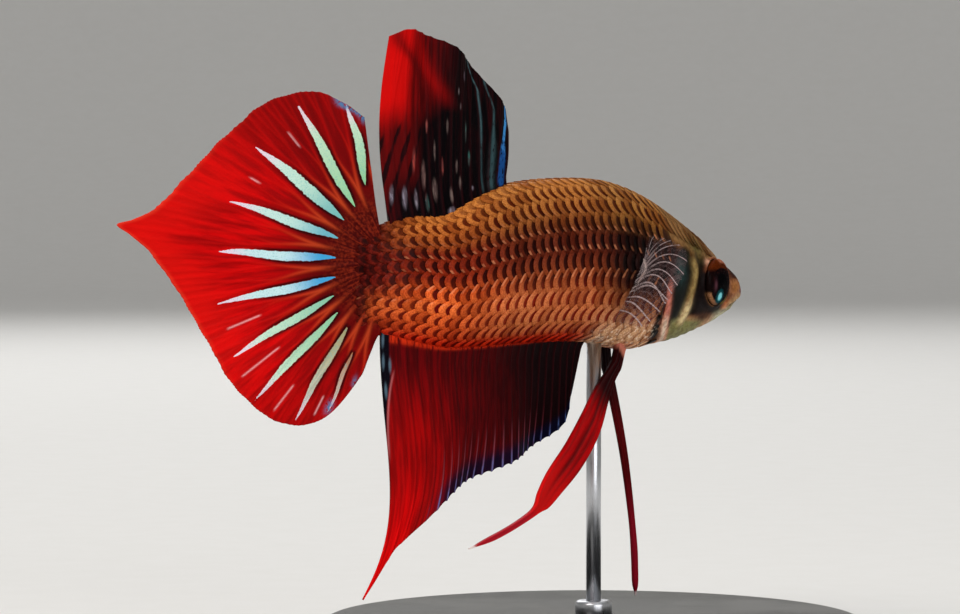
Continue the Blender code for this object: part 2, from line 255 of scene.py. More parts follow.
def body_lift(station, side, level, points):
    """Relief of the skin: how far it stands above the outer surface, which is always 0 or less."""
    rear, up = seen_from_eye(points, side)
    from_eye = np.hypot(rear, up)
    behind_rim, ahead_of_bar, gape = head_places(station, level)
    # The bare head lies deeper, with a raised rim and a gap behind it where the gill cover ends
    bare = np.maximum(rise(behind_rim, 0.1, -0.1) * rise(level, 4.6, 4.1), rise(station, 36.2, 36.8))
    lift = -blend(COAT_DEPTH, BARE_DEPTH, bare)
    lift += 0.1 * hump(behind_rim, -0.4, 0.4) * band(level, -3.9, -3.3, 3.7, 4.5)
    gap = band(behind_rim, 0.0, 0.1, gape, gape + 0.3) * band(level, -4.2, -3.6, 3.9, 4.6)
    lift -= (0.12 + 0.65 * rise(gape, 0.3, 1.1)) * gap
    # The cheek bar stands between two grooves, over the folds of the throat
    grooves = 0.09 * hump(ahead_of_bar, 0.0, 0.42) - 0.07 * hump(ahead_of_bar, -0.85, 0.35) \
        - 0.12 * hump(ahead_of_bar, 0.9, 0.4)
    lift += grooves * band(level, -3.2, -2.2, 3.2, 4.0)
    folds = np.sin(2 * math.pi * (level + 0.22 * (station - 33)) / 0.5)
    lift -= 0.05 * (1 + folds) / 2 * rise(level, -1.8, -2.3) * band(station, 31.3, 32.2, 36.5, 38.5)
    # Rim of the eye, brow, and the mouth with its lips and the cut under it
    lift += 0.11 * hump(from_eye, EYE_RIM_RADIUS, 0.16) * (0.6 + 0.4 * rise(up, -0.6, 0.8))
    lift -= 0.08 * hump(from_eye, EYE_RIM_RADIUS + 0.45, 0.25)
    lift -= 0.3 * hump(station, 39.55, 0.55) * rise(level, 1.2, 2.2)
    above = level - straight(MOUTH, station)
    lips = 0.09 * (hump(above, 0.28, 0.17) + hump(above, -0.3, 0.17)) - 0.32 * hump(above, 0.0, 0.09)
    lift += lips * rise(station, 39.5, 40.2)
    lift -= 0.06 * hump(above, 0.68, 0.16) * band(station, 39.3, 40.0, 41.6, 42.2)
    lift -= 0.05 * hump(above, -0.72, 0.16) * rise(station, 38.6, 39.6)
    lift -= 0.28 * rise(station, 40.2, 41.4) * rise(above, -0.05, -0.35)
    for nostril_station, nostril_level in NOSTRILS:
        away = np.hypot(station - nostril_station, level - nostril_level)
        lift += 0.05 * hump(away, 0.2, 0.08) - 0.2 * hump(away, 0.0, 0.11)
    tip = rise(station, STANDARD_LENGTH - 0.05, STANDARD_LENGTH - 0.5)
    return np.minimum(lift, -0.01) * tip


def body_marks(station, side, level, points):
    """Where each of the body's colours lies, 0 to 1, for skin and scales alike."""
    back, belly, _ = body_size(station)
    height = np.clip((level - belly) / (back - belly), 0.0, 1.0)
    rear, up = seen_from_eye(points, side)
    from_eye = np.hypot(rear, up)
    behind_rim, ahead_of_bar, gape = head_places(station, level)
    above = level - straight(MOUTH, station)
    over_brow = level - (3.35 + 0.35 * (36 - station))
    return {
        "height": height,
        "middle": rise(station, 5.0, 13.0),
        "front": rise(station, 19.0, 25.5),
        "tail_root": rise(station, 3.6, 0.0) * (0.35 + 0.65 * rise(height, 0.25, 0.5)),
        "tail_skin": rise(station, 0.2, -1.0),
        "keel": rise(height, 0.09, 0.03) * rise(station, 23.0, 19.0),
        "shoulder": hump(station, 26.9, 3.6) * hump(level, 2.0, 2.5) * rise(station, 31, 29.5),
        # Pale breast: its own colour, lightened further by painted highlight
        "breast": rise(level, -1.5, -2.6) * band(station, 21.5, 24.0, 29.4, 30.2),
        "pelvic_seat": hump(station, 27.3, 0.9) * rise(level, -3.4, -4.0),
        "vent": hump(station, 24.0, 0.3) * rise(height, 0.05, 0.02),
        "forehead": rise(station, 30.0, 31.5) * rise(over_brow, -0.5, 0.3),
        "olive": hump(station, 34.9, 1.3) * hump(over_brow, 0.4, 0.9),
        "gill_panel": rise(behind_rim, -0.75, -1.0) * rise(ahead_of_bar, -0.3, -0.6)
                      * rise(level, -3.0, -2.0) * rise(over_brow, 0.3, -0.6),
        "gill_sheen": hump(np.hypot(station - 32.0, (level - 2.3) * 0.7), 0.0, 0.8),
        "cheek": rise(ahead_of_bar, 0.35, 0.65) * rise(station, 39.3, 38.3) * rise(over_brow, 0.3, -0.6)
                 * rise(level, -2.1, -1.3),
        "jowl": hump(station, 36.2, 1.2) * hump(level, -1.7, 0.4),
        "chin": rise(behind_rim, -1.0, -1.5) * rise(level, -1.5, -2.2) * rise(station, 38.0, 35.5),
        "snout": rise(station - 0.8 * rise(level, 0.6, -0.3), 38.6, 39.9) * rise(above, -0.1, 0.15),
        # Painted highlight on the snout
        "snout_glow": hump(station, 40.7, 0.8) * hump(level, 0.7, 0.75) * (station > 38),
        "snout_top": rise(level, 1.2, 1.7) * rise(station, 39.1, 40.6),
        "snout_tip": rise(station, 41.5, 42.1) * rise(level, -0.2, 0.3),
        "jaw": rise(station, 38.0, 39.3) * rise(above, 0.05, -0.2),
        # Pale keel of the lower jaw: its own pale colour, lightened further by painted highlight
        "jaw_keel": band(station, 37.0, 38.6, 40.8, 41.6) * rise(height, 0.22, 0.08),
        "lip": hump(above, -0.32, 0.24) * rise(station, 39.3, 40.2),
        "upper_lip": hump(above, 0.32, 0.26) * band(station, 39.2, 40.0, 41.3, 42.1),
        # Painted shade in the mouth's cleft
        "cleft": hump(above, 0.0, 0.09) * rise(station, 39.7, 40.2),
        "brow": hump(from_eye, EYE_RIM_RADIUS, 0.17) * rise(up, 0.7, 1.3),
        # Painted highlight on the rim of the eye, above and behind
        "brow_glow": hump(np.hypot(rear - 1.1, up - 1.6), 0.0, 0.38),
        "under_eye": hump(from_eye, 1.9, 0.14) * rise(up, -0.7, -1.0) * rise(rear, 0.0, 0.4),
        # Painted shade inside the socket's edge, fainter at the top
        "orbit": rise(from_eye, 1.86, 1.76) * (1 - 0.8 * rise(up, 0.6, 1.2)),
        # Painted shade in the saddle of the muzzle
        "muzzle_dusk": hump(station, 39.55, 0.45) * rise(level, 1.2, 1.9),
        "cheek_bar": hump(ahead_of_bar, 0.0, 0.46) * band(level, -2.7, -1.9, 2.9, 3.6),
        "bar_foot": hump(ahead_of_bar, 0.0, 0.54) * band(level, -2.5, -1.8, -1.1, 0.2),
        "gill_rim": hump(behind_rim, -0.45, 0.42) * band(level, -3.9, -3.4, 0.8, 2.0),
        "rim_foot": hump(behind_rim, -0.42, 0.36) * band(level, -4.0, -3.4, -2.2, -1.0),
        # Painted shadow in the gaping gill openings
        "gill_gap": band(behind_rim, 0.0, 0.1, gape, gape + 0.25) * band(level, -4.2, -3.7, 3.9, 4.6)
                    * (station > 25),
    }


# Colours are given as they show, red, green and blue from 0 to 255. First the paint by height up
# the body, from the belly to the back, for its rear, middle and front. Its lighter back is partly its
# own colour and partly painted light from above
REAR_PAINT = ((0.0, (190, 40, 14)), (0.14, (212, 82, 32)), (0.3, (240, 116, 52)), (0.4, (236, 102, 42)),
              (0.52, (148, 44, 16)), (0.7, (128, 38, 15)), (0.85, (188, 104, 44)), (1.0, (204, 124, 54)))
MIDDLE_PAINT = ((0.0, (168, 50, 20)), (0.14, (206, 116, 66)), (0.28, (222, 126, 74)), (0.42, (156, 72, 36)),
                (0.55, (102, 38, 20)), (0.68, (104, 44, 22)), (0.82, (164, 100, 46)), (1.0, (200, 130, 62)))
FRONT_PAINT = ((0.0, (210, 156, 116)), (0.15, (214, 152, 110)), (0.27, (166, 98, 56)), (0.38, (80, 33, 15)),
               (0.48, (34, 9, 6)), (0.66, (42, 14, 8)), (0.82, (154, 102, 46)), (1.0, (182, 130, 70)))
# Then the coats laid over that, in this order, each where body_marks says. The pale spots on the
# snout and brow are painted highlights, the light breast and the pale keel of the jaw are partly
# painted highlight, and the socket's inner edge, the saddle of the muzzle, the mouth's cleft and the
# gill openings are darkened with painted shade
BODY_COATS = (
    ((228, 178, 134), "breast"), ((26, 7, 5), "shoulder"), ((196, 40, 10), "keel"),
    ((110, 24, 14), "tail_root"), ((84, 14, 9), "tail_skin"), ((214, 132, 106), "pelvic_seat"),
    ((205, 205, 198), "vent"), ((146, 108, 66), "forehead"), ((16, 17, 13), "gill_panel"),
    ((40, 66, 66), "gill_sheen"), ((17, 6, 6), "cheek"), ((134, 132, 82), "chin"), ((70, 38, 18), "jowl"),
    ((92, 80, 42), "olive"), ((142, 92, 68), "snout"), ((172, 112, 56), "snout_glow"),
    ((50, 20, 14), "snout_top"), ((116, 54, 50), "snout_tip"), ((44, 30, 16), "jaw"),
    ((206, 206, 172), "jaw_keel"), ((160, 152, 116), "lip"), ((186, 150, 108), "upper_lip"),
    ((156, 132, 80), "cheek_bar"), ((226, 204, 152), "bar_foot"), ((206, 122, 106), "gill_rim"),
    ((236, 212, 186), "rim_foot"), ((34, 12, 8), "muzzle_dusk"), ((136, 78, 50), "brow"),
    ((214, 160, 130), "brow_glow"), ((140, 96, 58), "under_eye"), ((6, 3, 4), "orbit"),
    ((14, 6, 5), "cleft"), ((4, 2, 2), "gill_gap"),
)


class Wire:
    """An output in a material's nodes. Sums written on wires add Math nodes."""

    def __init__(self, tree, socket):
        self.tree = tree
        self.socket = socket

    def node(self, kind, settings, sockets, output=0):
        """Add a node: first its settings, then the values or wires of its sockets."""
        made = self.tree.nodes.new("ShaderNode" + kind)
        for name, value in settings.items():
            if name == "stops":
                elements = made.color_ramp.elements
                while len(elements) < len(value):
                    elements.new(1.0)
                for element, (position, tone) in zip(elements, value):
                    element.position = position
                    element.color = reflected(tone)
            else:
                setattr(made, name, value)
        for name, value in sockets.items():
            if isinstance(value, Wire):
                self.tree.links.new(value.socket, made.inputs[name])
            else:
                made.inputs[name].default_value = value
        return Wire(self.tree, made.outputs[output])

    def maths(self, operation, first, second=0.0):
        return self.node("Math", {"operation": operation}, {0: first, 1: second})

    def __add__(self, other):
        return self.maths("ADD", self, other)

    def __sub__(self, other):
        return self.maths("SUBTRACT", self, other)

    def __rsub__(self, other):
        return self.maths("SUBTRACT", other, self)

    def __mul__(self, other):
        return self.maths("MULTIPLY", self, other)

    __radd__ = __add__
    __rmul__ = __mul__


def reflected(tone):
    """The light that a colour reflects, for a colour given as it shows; a wire stays as it is."""
    if isinstance(tone, Wire):
        return tone
    return (*(((part / 255 + 0.055) / 1.055) ** 2.4 for part in tone), 1.0)


def mark(here, name):
    """Wire of one of the mesh's own marks."""
    return here.node("Attribute", {"attribute_name": name}, {}, "Fac")


def mixed(first, second, share, how="MIX"):
    """Colour part way from the first to the second, or to the two combined in another way."""
    sockets = {0: share, 6: reflected(first), 7: reflected(second)}
    return share.node("Mix", {"data_type": "RGBA", "blend_type": how}, sockets, 2)


def coats(colour, *layers, how="MIX"):
    """Paint laid on in turn. A layer is its colour, its wire or the name of its mark, and strengths."""
    for tone, where, *strengths in layers:
        share = mark(colour, where) if isinstance(where, str) else where
        for strength in strengths:
            share = share * strength
        colour = mixed(colour, tone, share, how)
    return colour


def stepped(wire, low, high):
    """Smooth step of a wire from 0 at low to 1 at high; it falls where low is the larger."""
    settings = {"interpolation_type": "SMOOTHSTEP"}
    if low < high:
        return wire.node("MapRange", settings, {"Value": wire, "From Min": low, "From Max": high})
    return 1 - stepped(wire, high, low)


def noise(here, size, detail=2.0):
    """Cloudy pattern from 0 to 1 with lumps of about a size in millimetres."""
    return here.node("TexNoise", {}, {"Vector": here, "Scale": 1 / (size * MM), "Detail": detail}, "Fac")


def new_material(name, fixed):
    """A material with its shader's fixed values set, and the wire of its Object coordinates."""
    material = bpy.data.materials.new(name)
    material.use_nodes = True
    for socket, value in fixed.items():
        material.node_tree.nodes["Principled BSDF"].inputs[socket].default_value = value
    coordinates = material.node_tree.nodes.new("ShaderNodeTexCoord")
    return material, Wire(material.node_tree, coordinates.outputs["Object"])


def finish_material(material, varying, bump=None):
    """Wire what varies over the surface into the shader; bump is a height in millimetres."""
    shader = material.node_tree.nodes["Principled BSDF"]
    if bump is not None:
        varying = {**varying, "Normal": bump.node("Bump", {}, {"Height": bump, "Distance": MM}, "Normal")}
    for socket, wire in varying.items():
        material.node_tree.links.new(wire.socket, shader.inputs[socket])
    return material


def body_colour(here):
    """The body's paint, shared by skin and scales."""
    height = mark(here, "height")
    rear, middle, front = (here.node("ValToRGB", {"stops": stops}, {"Fac": height}, "Color")
                           for stops in (REAR_PAINT, MIDDLE_PAINT, FRONT_PAINT))
    return coats(rear, (middle, "middle"), (front, "front"), *BODY_COATS)


def skin_material():
    material, here = new_material("painted_skin", {"Specular IOR Level": 0.04, "Coat Roughness": 0.25})
    mottle = noise(here, 0.35, 4.0)
    colour = mixed(body_colour(here), (176, 156, 146), 0.6 * stepped(mottle, 0.6, 0.38), "MULTIPLY")
    colour = mixed(colour, (255, 214, 160), 0.3 * stepped(noise(here, 0.2, 3.0), 0.56, 0.72), "SOFT_LIGHT")
    varying = {"Base Color": colour, "Roughness": 0.42 + 0.2 * mottle, "Coat Weight": 0.05 * mottle}
    return finish_material(material, varying, 0.02 * mottle + 0.006 * noise(here, 0.08))


def finish_mesh(name, bm, material):
    """Turn a shape in millimetres into a smooth mesh object at the origin."""
    bmesh.ops.scale(bm, vec=(MM, MM, MM), verts=bm.verts[:])
    mesh = bpy.data.meshes.new(name)
    bm.to_mesh(mesh)
    bm.free()
    mesh.materials.append(material)
    mesh.shade_smooth()
    piece = bpy.data.objects.new(name, mesh)
    bpy.context.scene.collection.objects.link(piece)
    return piece


def add_piece(name, bm, material, replaced=()):
    """A piece that rides on the frame, from a closed shape in millimetres, faces turned outwards."""
    bm.normal_update()
    bmesh.ops.recalc_face_normals(bm, faces=bm.faces[:])
    if bm.calc_volume(signed=True) < 0:
        bmesh.ops.reverse_faces(bm, faces=bm.faces[:])
    piece = finish_mesh(name, bm, material)
    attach(piece, "root")
    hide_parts(*replaced)
    return piece


def shape_corners(bm, spots, marks):
    """Move each corner of a shape to its spot, and store each mark on the corners."""
    for name, values in marks.items():
        layer = bm.verts.layers.float.new(name)
        for vert, value in zip(bm.verts, values):
            vert[layer] = value
    for vert, spot in zip(bm.verts, spots):
        vert.co = spot


def make_skin():
    around, lengthways = 240, 280
    bm = bmesh.new()
    bmesh.ops.create_grid(bm, x_segments=around, y_segments=lengthways, size=0.5)
    across, forward = (np.array([vert.co[axis] for vert in bm.verts]) + 0.5 for axis in (0, 1))
    # Over a third of the rows go to the body behind the head, the rest to the head's detail
    station = np.interp(forward, (0.0, 0.36, 1.0), (-SLEEVE, 28.5, STANDARD_LENGTH))
    # Both edges of the grid stop just short of the keel, each on its own side, and are joined below
    arc = (2 * across - 1) * 0.999999 * half_girth(station)
    side, level = section(station, angle_at(station, arc))
    surface = place(station, side, level)
    spots = on_body(station, arc, body_lift(station, side, level, surface))
    for hand in (1, -1):
        centre, outward, rearward, upward = eye_axes(hand)
        from_axis = np.hypot((spots - centre) @ rearward, (spots - centre) @ upward)
        sunk = SOCKET_DEPTH * rise(from_axis, SOCKET_RADIUS + 0.1, SOCKET_RADIUS - 0.14) * (side * hand > 0)
        spots -= sunk[:, None] * outward
    shape_corners(bm, spots, body_marks(station, side, level, surface))
    bmesh.ops.remove_doubles(bm, verts=bm.verts[:], dist=0.0005)
    ends = [edge for edge in bm.edges if edge.is_boundary]
    bmesh.ops.holes_fill(bm, edges=ends, sides=len(ends))
    flesh = ("head", "lower_jaw", "gill_cover_left", "gill_cover_right", "trunk", "tail_body", "tail_stalk")
    add_piece("skin", bm, skin_material(), flesh)


make_skin()


# ---- Scales
# Thin rounded plates laid on the skin like roof tiles, each fixed at its front and free towards the
# tail, in rows that follow the flank. They shrink towards the head and are smallest on the face.
# Each is painted dark where the one ahead of it ends, partly its own dark colour and partly painted shadow
# under that edge, and bright at its free edge, where many carry a painted glint.

ROWS = 12                     # rows of scales from the ridge of the back to the keel of the belly
MIDDLE_ROW = 1.47             # spacing of the rows at the middle of the flank, in even shares of
ROW_CROWDING = 0.00417        # 7.92, and how they crowd towards both ridges
CHEVRON = 1.35                # how much farther back the columns of scales end at the ridges
FIRST_SCALE = -1.7
LAST_SCALE = 36.8
# Exposed length of a scale by station
SCALE_PITCH = ((-2.0, 0.72), (0.0, 0.82), (4.0, 0.88), (13.0, 0.94), (18.0, 1.02), (24.0, 1.1),
               (28.0, 1.02), (33.0, 0.8), (37.5, 0.62))
SCALE_LENGTH = 1.9            # whole length, as a multiple of the exposed length
SCALE_SAG = 0.6               # how far the free edge curves back at its corners, likewise
SCALE_HALF_WIDTH = 0.65       # as a multiple of the spacing of the rows
SCALE_THICKNESS = 0.04
UNWRAP = 1 / 48               # size of the coat's flat pattern for each millimetre of skin
PATCH = 0.003                 # size of one scale's patch on it
chance = np.random.default_rng(11)


def row_arc(station, row):
    """Arc from the back to a row, counted up from the middle of the flank."""
    spread, ridge_spread = (MIDDLE_ROW * up - ROW_CROWDING * up ** 3 for up in (row, ROWS / 2))
    return half_girth(station) / 2 * (1 - spread / ridge_spread)


def swept(along_row, row):
    """Station of a place along a row, with the columns swept back to a V that points ahead."""
    return along_row - CHEVRON * (1 - np.cos(2 * math.pi * row / ROWS)) / 2


def scale_seats(rows):
    """Free tip along its row, row and pitch of every scale that the rows could hold."""
    seats = []
    for row in rows:
        tip = FIRST_SCALE
        if row % 2:
            tip += along(SCALE_PITCH, 1, tip) / 2
        while swept(tip, row) < LAST_SCALE:
            pitch = float(along(SCALE_PITCH, 1, tip))
            seats.append((tip, row, pitch))
            tip += pitch
    return np.array(seats)


def coated(station, level):
    """True where scales grow: not on the face, in the gill openings or past the sleeve's end."""
    behind_rim, _, gape = head_places(station, level)
    body = (station < 30.2) & (behind_rim > gape + 0.2)
    nape = (level > 3.6 + 0.38 * (36 - station)) & (station < LAST_SCALE)
    return (station > FIRST_SCALE) & (body | nape)


def slab(columns, rows):
    """A closed sheet, its corners' fractions across and lengthways, and 0 or 1 for lower or upper."""
    bm = bmesh.new()
    bmesh.ops.create_grid(bm, x_segments=columns, y_segments=rows, size=0.5)
    raised = bmesh.ops.extrude_face_region(bm, geom=bm.faces[:], use_keep_orig=True)["geom"]
    upper = [item for item in raised if isinstance(item, bmesh.types.BMVert)]
    bmesh.ops.translate(bm, vec=(0, 0, 1), verts=upper)
    across, out, face = np.array([vert.co for vert in bm.verts]).T
    return bm, across + 0.5, out + 0.5, face


def lay_scales(name, held_rows, hand, material):
    """One mesh of scales on one side of the body; each is bent over the skin along its own row."""
    seats = scale_seats(held_rows)
    station = swept(seats[:, 0], seats[:, 1])
    level = section(station, angle_at(station, row_arc(station, seats[:, 1])))[1]
    tip, row, pitch = (column[:, None] for column in seats[coated(station, level)].T)
    pattern, u, lie, face = slab(6, 3)
    across, lie = 2 * u - 1, lie ** 0.8
    template = bpy.data.meshes.new("scale")
    pattern.to_mesh(template)
    pattern.free()
    bm = bmesh.new()
    for _ in tip:
        bm.from_mesh(template)
    bpy.data.meshes.remove(template)
    rows = row + across * SCALE_HALF_WIDTH * (1 - 0.3 * (1 - lie) ** 2)
    station = swept(tip + pitch * (SCALE_LENGTH * (1 - lie) + SCALE_SAG * across ** 2 * lie), rows).ravel()
    arc = hand * row_arc(station, rows.ravel())
    wobble = chance.uniform(-0.06, 0.06, tip.shape) + chance.uniform(-0.06, 0.06, tip.shape) * across
    upper = COAT_DEPTH * (wobble * lie - (1 - lie) ** 1.1 * 0.9 - 0.3 * across ** 4)
    lift = np.minimum(upper, 0.0) - SCALE_THICKNESS * (1 - face)
    side, level = section(station, angle_at(station, arc))
    marks = body_marks(station, side, level, place(station, side, level))
    marks["pick"] = np.repeat(chance.uniform(0.0, 1.0, len(tip)), len(across))
    shape_corners(bm, on_body(station, arc, lift.ravel()), marks)
    # One map runs over each scale, the other gives it a patch of the flat pattern at its root
    lie_map, bake_map = (bm.loops.layers.uv.new(layer) for layer in ("lie", "OFBake"))
    seat_arc, seat_station = (np.repeat(at.ravel(), len(across)) * UNWRAP + margin
                              for at, margin in ((hand * row_arc(tip, row), 0.5), (tip, 0.06)))
    for flat in bm.faces:
        for loop in flat.loops:
            index = loop.vert.index
            corner = index % len(across)
            loop[lie_map].uv = (u[corner], lie[corner])
            loop[bake_map].uv = (seat_station[index] + PATCH * lie[corner],
                                 seat_arc[index] + PATCH * (u[corner] - 0.5))
    add_piece(name, bm, material)


def scale_material():
    material, here = new_material("painted_scales", {"Specular IOR Level": 0.04, "Coat Roughness": 0.2})
    lie = here.node("UVMap", {"uv_map": "lie"}, {})
    across, lengthways = (here.node("SeparateXYZ", {}, {"Vector": lie}, axis) for axis in ("X", "Y"))
    pick, height, tail_root = (mark(here, name) for name in ("pick", "height", "tail_root"))
    grain = noise(here, 0.12, 3.0)
    # The dark slit, partly pigment and partly painted shadow, and the painted glint both sit a little
    # towards the middle of the flank
    to_middle = (across - 0.5) * (1 - 2 * stepped(height, 0.42, 0.52))
    off_middle = across.maths("ABSOLUTE", to_middle)
    low = stepped(height, 0.46, 0.3)
    reach = 0.72 - 0.9 * off_middle * off_middle + 0.06 * (grain - 0.5) - 0.04 * low
    # Slit: dark pigment with painted shadow under the free edge of the scale ahead
    slit_pigment_and_shadow = stepped(reach - lengthways, -0.04, 0.05) * stepped(off_middle, 0.5, 0.42)
    plain = mark(here, "forehead") * 0.85 + tail_root * 0.25
    strength = stepped(height, 1.04, 0.9) * (1 - 0.7 * mark(here, "breast"))
    strength = strength * (0.8 + 0.2 * pick) * (1 - plain)
    low_shade = mixed((112, 22, 8), (152, 54, 26), mark(here, "middle"))
    shade = coats(mixed((84, 18, 10), low_shade, low), ((108, 48, 14), stepped(height, 0.76, 0.86)))
    blotch = stepped(noise(here, 0.4, 3.0), 0.44, 0.6) * tail_root
    colour = coats(body_colour(here), ((190, 160, 140), stepped(pick, 0.5, 0.1), 0.8),
                   ((214, 196, 184), stepped(grain, 0.6, 0.4)), ((150, 70, 60), blotch, 0.7),
                   (shade, slit_pigment_and_shadow, strength), how="MULTIPLY")
    glint = stepped(to_middle, 0.08, 0.18) * stepped(to_middle, 0.34, 0.28) * stepped(lengthways, 0.84, 0.9)
    glint = glint * (1 - tail_root) * stepped(height, 0.22, 0.4) * stepped(height, 0.86, 0.7)
    glint = glint * (0.3 + 0.7 * pick)
    # Painted highlight: pale sparkles over the breast
    painted_sparkle = stepped(noise(here, 0.3), 0.52, 0.66) * mark(here, "breast")
    colour = coats(colour, ((236, 150, 104), glint, 0.5, 1 - 0.5 * mark(here, "shoulder")),
                   ((255, 232, 206), painted_sparkle, 0.6))
    varying = {"Base Color": colour, "Roughness": 0.42 + 0.2 * grain, "Coat Weight": 0.04 * pick}
    return finish_material(material, varying, 0.01 * grain)


scale_paint = scale_material()
for side_name, hand in (("right", 1), ("left", -1)):
    lay_scales("scales_" + side_name, range(1 - ROWS // 2, ROWS // 2), hand, scale_paint)
lay_scales("scales_ridge", (-ROWS // 2, ROWS // 2), 1, scale_paint)


# ---- Eyes
# Glass eyes: flattened balls set in the sockets, looking a little ahead. The pupil and the dark iris
# are painted on the back of the glass, with a flake of turquoise low in the iris and the flesh of
# the lids round it.

EYE_RADIUS = 1.95
EYE_DEPTH = 0.67
PUPIL_RADIUS = 0.95
IRIS_RADIUS = 1.42
IRIS_DROP = 0.22              # how far the iris sits below the middle of the ball
IRIS_BACK = 0.3               # and how far behind it


def eye_material():
    fixed = {"Roughness": 0.3, "Specular IOR Level": 0.0, "Coat Weight": 0.04, "Coat Roughness": 0.03}
    material, here = new_material("glass_eye", fixed)
    ring = mark(here, "ring")
    flecks = noise(here, 0.12, 3.0)
    lid = coats(mixed((18, 7, 7), (82, 32, 8), mark(here, "lid_top")), ((170, 106, 80), "lid_rim"),
                ((156, 108, 74), "lid_rear"), ((104, 88, 44), "lid_front"))
    lid = mixed(lid, (90, 60, 50), 0.4 * stepped(flecks, 0.6, 0.4), "MULTIPLY")
    iris = mixed((10, 3, 5), (38, 14, 11), stepped(flecks, 0.5, 0.7))
    flake = mark(here, "flake") + 0.3 * (flecks - 0.5)
    colour = coats(iris, ((2, 1, 3), stepped(ring, PUPIL_RADIUS + 0.08, PUPIL_RADIUS - 0.04)),
                   (lid, stepped(ring + 0.1 * (flecks - 0.5), IRIS_RADIUS - 0.03, IRIS_RADIUS + 0.06)),
                   ((92, 54, 64), "gleam", 0.8), ((10, 62, 68), stepped(flake, 0.06, 0.3)),
                   ((130, 214, 222), stepped(flake, 0.42, 0.8)))
    return finish_material(material, {"Base Color": colour})


eye_glass = eye_material()
for side_name, hand in (("right", 1), ("left", -1)):
    bm = bmesh.new()
    bmesh.ops.create_uvsphere(bm, u_segments=96, v_segments=64, radius=1.0)
    x, y, z = np.array([vert.co for vert in bm.verts]).T
    rear, up, out = x * EYE_RADIUS, y * EYE_RADIUS, z * EYE_DEPTH
    centre, outward, rearward, upward = eye_axes(hand)
    spots = centre + rear[:, None] * rearward + up[:, None] * upward + out[:, None] * outward
    shape_corners(bm, spots, {
        "ring": np.hypot(rear - IRIS_BACK, up + IRIS_DROP),
        "lid_top": rise(up, 0.85, 1.3),
        "lid_rim": rise(np.hypot(rear, up), 1.5, 1.75) * rise(up, 0.4, 1.0) * rise(rear, 0.5, 0.0),
        "lid_rear": rise(up, -0.7, -0.95) * rise(rear, 0.3, 0.7),
        "lid_front": rise(up, -0.9, -1.3) * rise(rear, 0.2, -0.2),
        "gleam": hump(rear, 1.25, 0.16) * hump(up, -0.2, 0.4),
        "flake": hump(rear, 0.5, 0.4) * hump(up, -1.15, 0.46) * (z > 0),
    })
    add_piece("glass_eye_" + side_name, bm, eye_glass, ("eye_" + side_name,))


# ---- Tail fin
# A rounded fan drawn out to a point in the middle, like a spade. Thin membranes are stretched over
# bony rays that fork three times, and every membrane between the main rays carries a long
# turquoise fleck. It is cast in one piece and set into the root of the tail.

TAIL_SEAT = 0.6               # how far the fan's root goes into the body
TAIL_HUB = (1.4, 3.53)        # station and level that the rays fan out from
TAIL_ROOT = (5.8, -1.9)       # levels of the first and last ray at the root
TAIL_POINT = 0.464            # fraction of the fan at which it is drawn out
TAIL_TIPS = (                 # fraction, angle above the line to the rear, distance from the hub
    (0.0, 80.0, 11.3), (0.05, 73.0, 12.9), (0.1, 65.0, 14.5), (0.19, 50.0, 15.6),
    (0.27, 38.0, 15.9), (0.36, 24.0, 16.9), (0.43, 13.0, 18.5), (TAIL_POINT, 7.7, 21.1),
    (0.5, 2.0, 18.4), (0.59, -12.0, 16.1), (0.67, -25.0, 15.4), (0.8, -45.0, 15.4),
    (0.89, -59.0, 14.8), (0.95, -68.0, 12.9), (1.0, -76.0, 9.0),
)
TAIL_RAYS = (80.0, 66.5, 50.5, 31.5, 12.5, -5.5, -23.0, -38.5, -52.0, -63.5, -73.0)
TAIL_FORKS = ((5.0, 3.9), (8.0, 2.0), (11.0, 1.0))      # distance of each fork, degrees it opens
FORK_LENGTH = 4.5             # distance over which a fork opens
TAIL_RIPPLE = 0.5             # how far the free edge swings to each side
TAIL_WAVES = 3
STREAK_DISTANCE = 8.0         # distance from the hub at which the paint's streaks have their width
# Flecks: angle at the inner and outer end, inner and outer distance, width, tint, bow upwards
TAIL_FLECKS = (
    (72.3, 74.4, 6.2, 12.6, 0.86, 0.1, 0.3), (57.0, 59.8, 5.0, 14.1, 0.95, 0.12, 0.12),
    (41.3, 40.6, 4.8, 13.6, 1.15, 0.45, 0.1), (23.4, 20.7, 4.3, 13.2, 0.92, 0.55, 0.0),
    (3.2, 3.6, 4.1, 13.6, 0.92, 1.0, 0.0), (-16.8, -13.7, 4.3, 13.7, 0.84, 0.85, 0.1),
    (-32.0, -31.2, 5.0, 14.3, 0.78, 0.3, 0.1), (-44.6, -45.4, 5.6, 15.0, 0.78, 0.2, 0.0),
    (-57.2, -59.1, 6.0, 14.4, 0.7, -0.35, 0.0), (-67.4, -67.9, 7.6, 12.6, 0.36, -1.0, 0.0),
)
# Pale dashes between them: angle, inner and outer distance
TAIL_DASHES = ((51.9, 11.1, 12.8), (31.0, 11.6, 12.7), (-22.6, 10.7, 13.7), (-37.8, 10.7, 14.6),
               (-52.0, 12.0, 14.7), (-63.8, 11.5, 13.4))


def tail_surface(fraction, reach):
    angle = np.radians(along(TAIL_TIPS, 1, fraction))
    distance = along(TAIL_TIPS, 2, fraction)
    station = blend(TAIL_SEAT, TAIL_HUB[0] - distance * np.cos(angle), reach)
    level = blend(blend(*TAIL_ROOT, fraction), TAIL_HUB[1] + distance * np.sin(angle), reach)
    return station, TAIL_RIPPLE * reach ** 2 * np.sin(TAIL_WAVES * 2 * math.pi * fraction), level


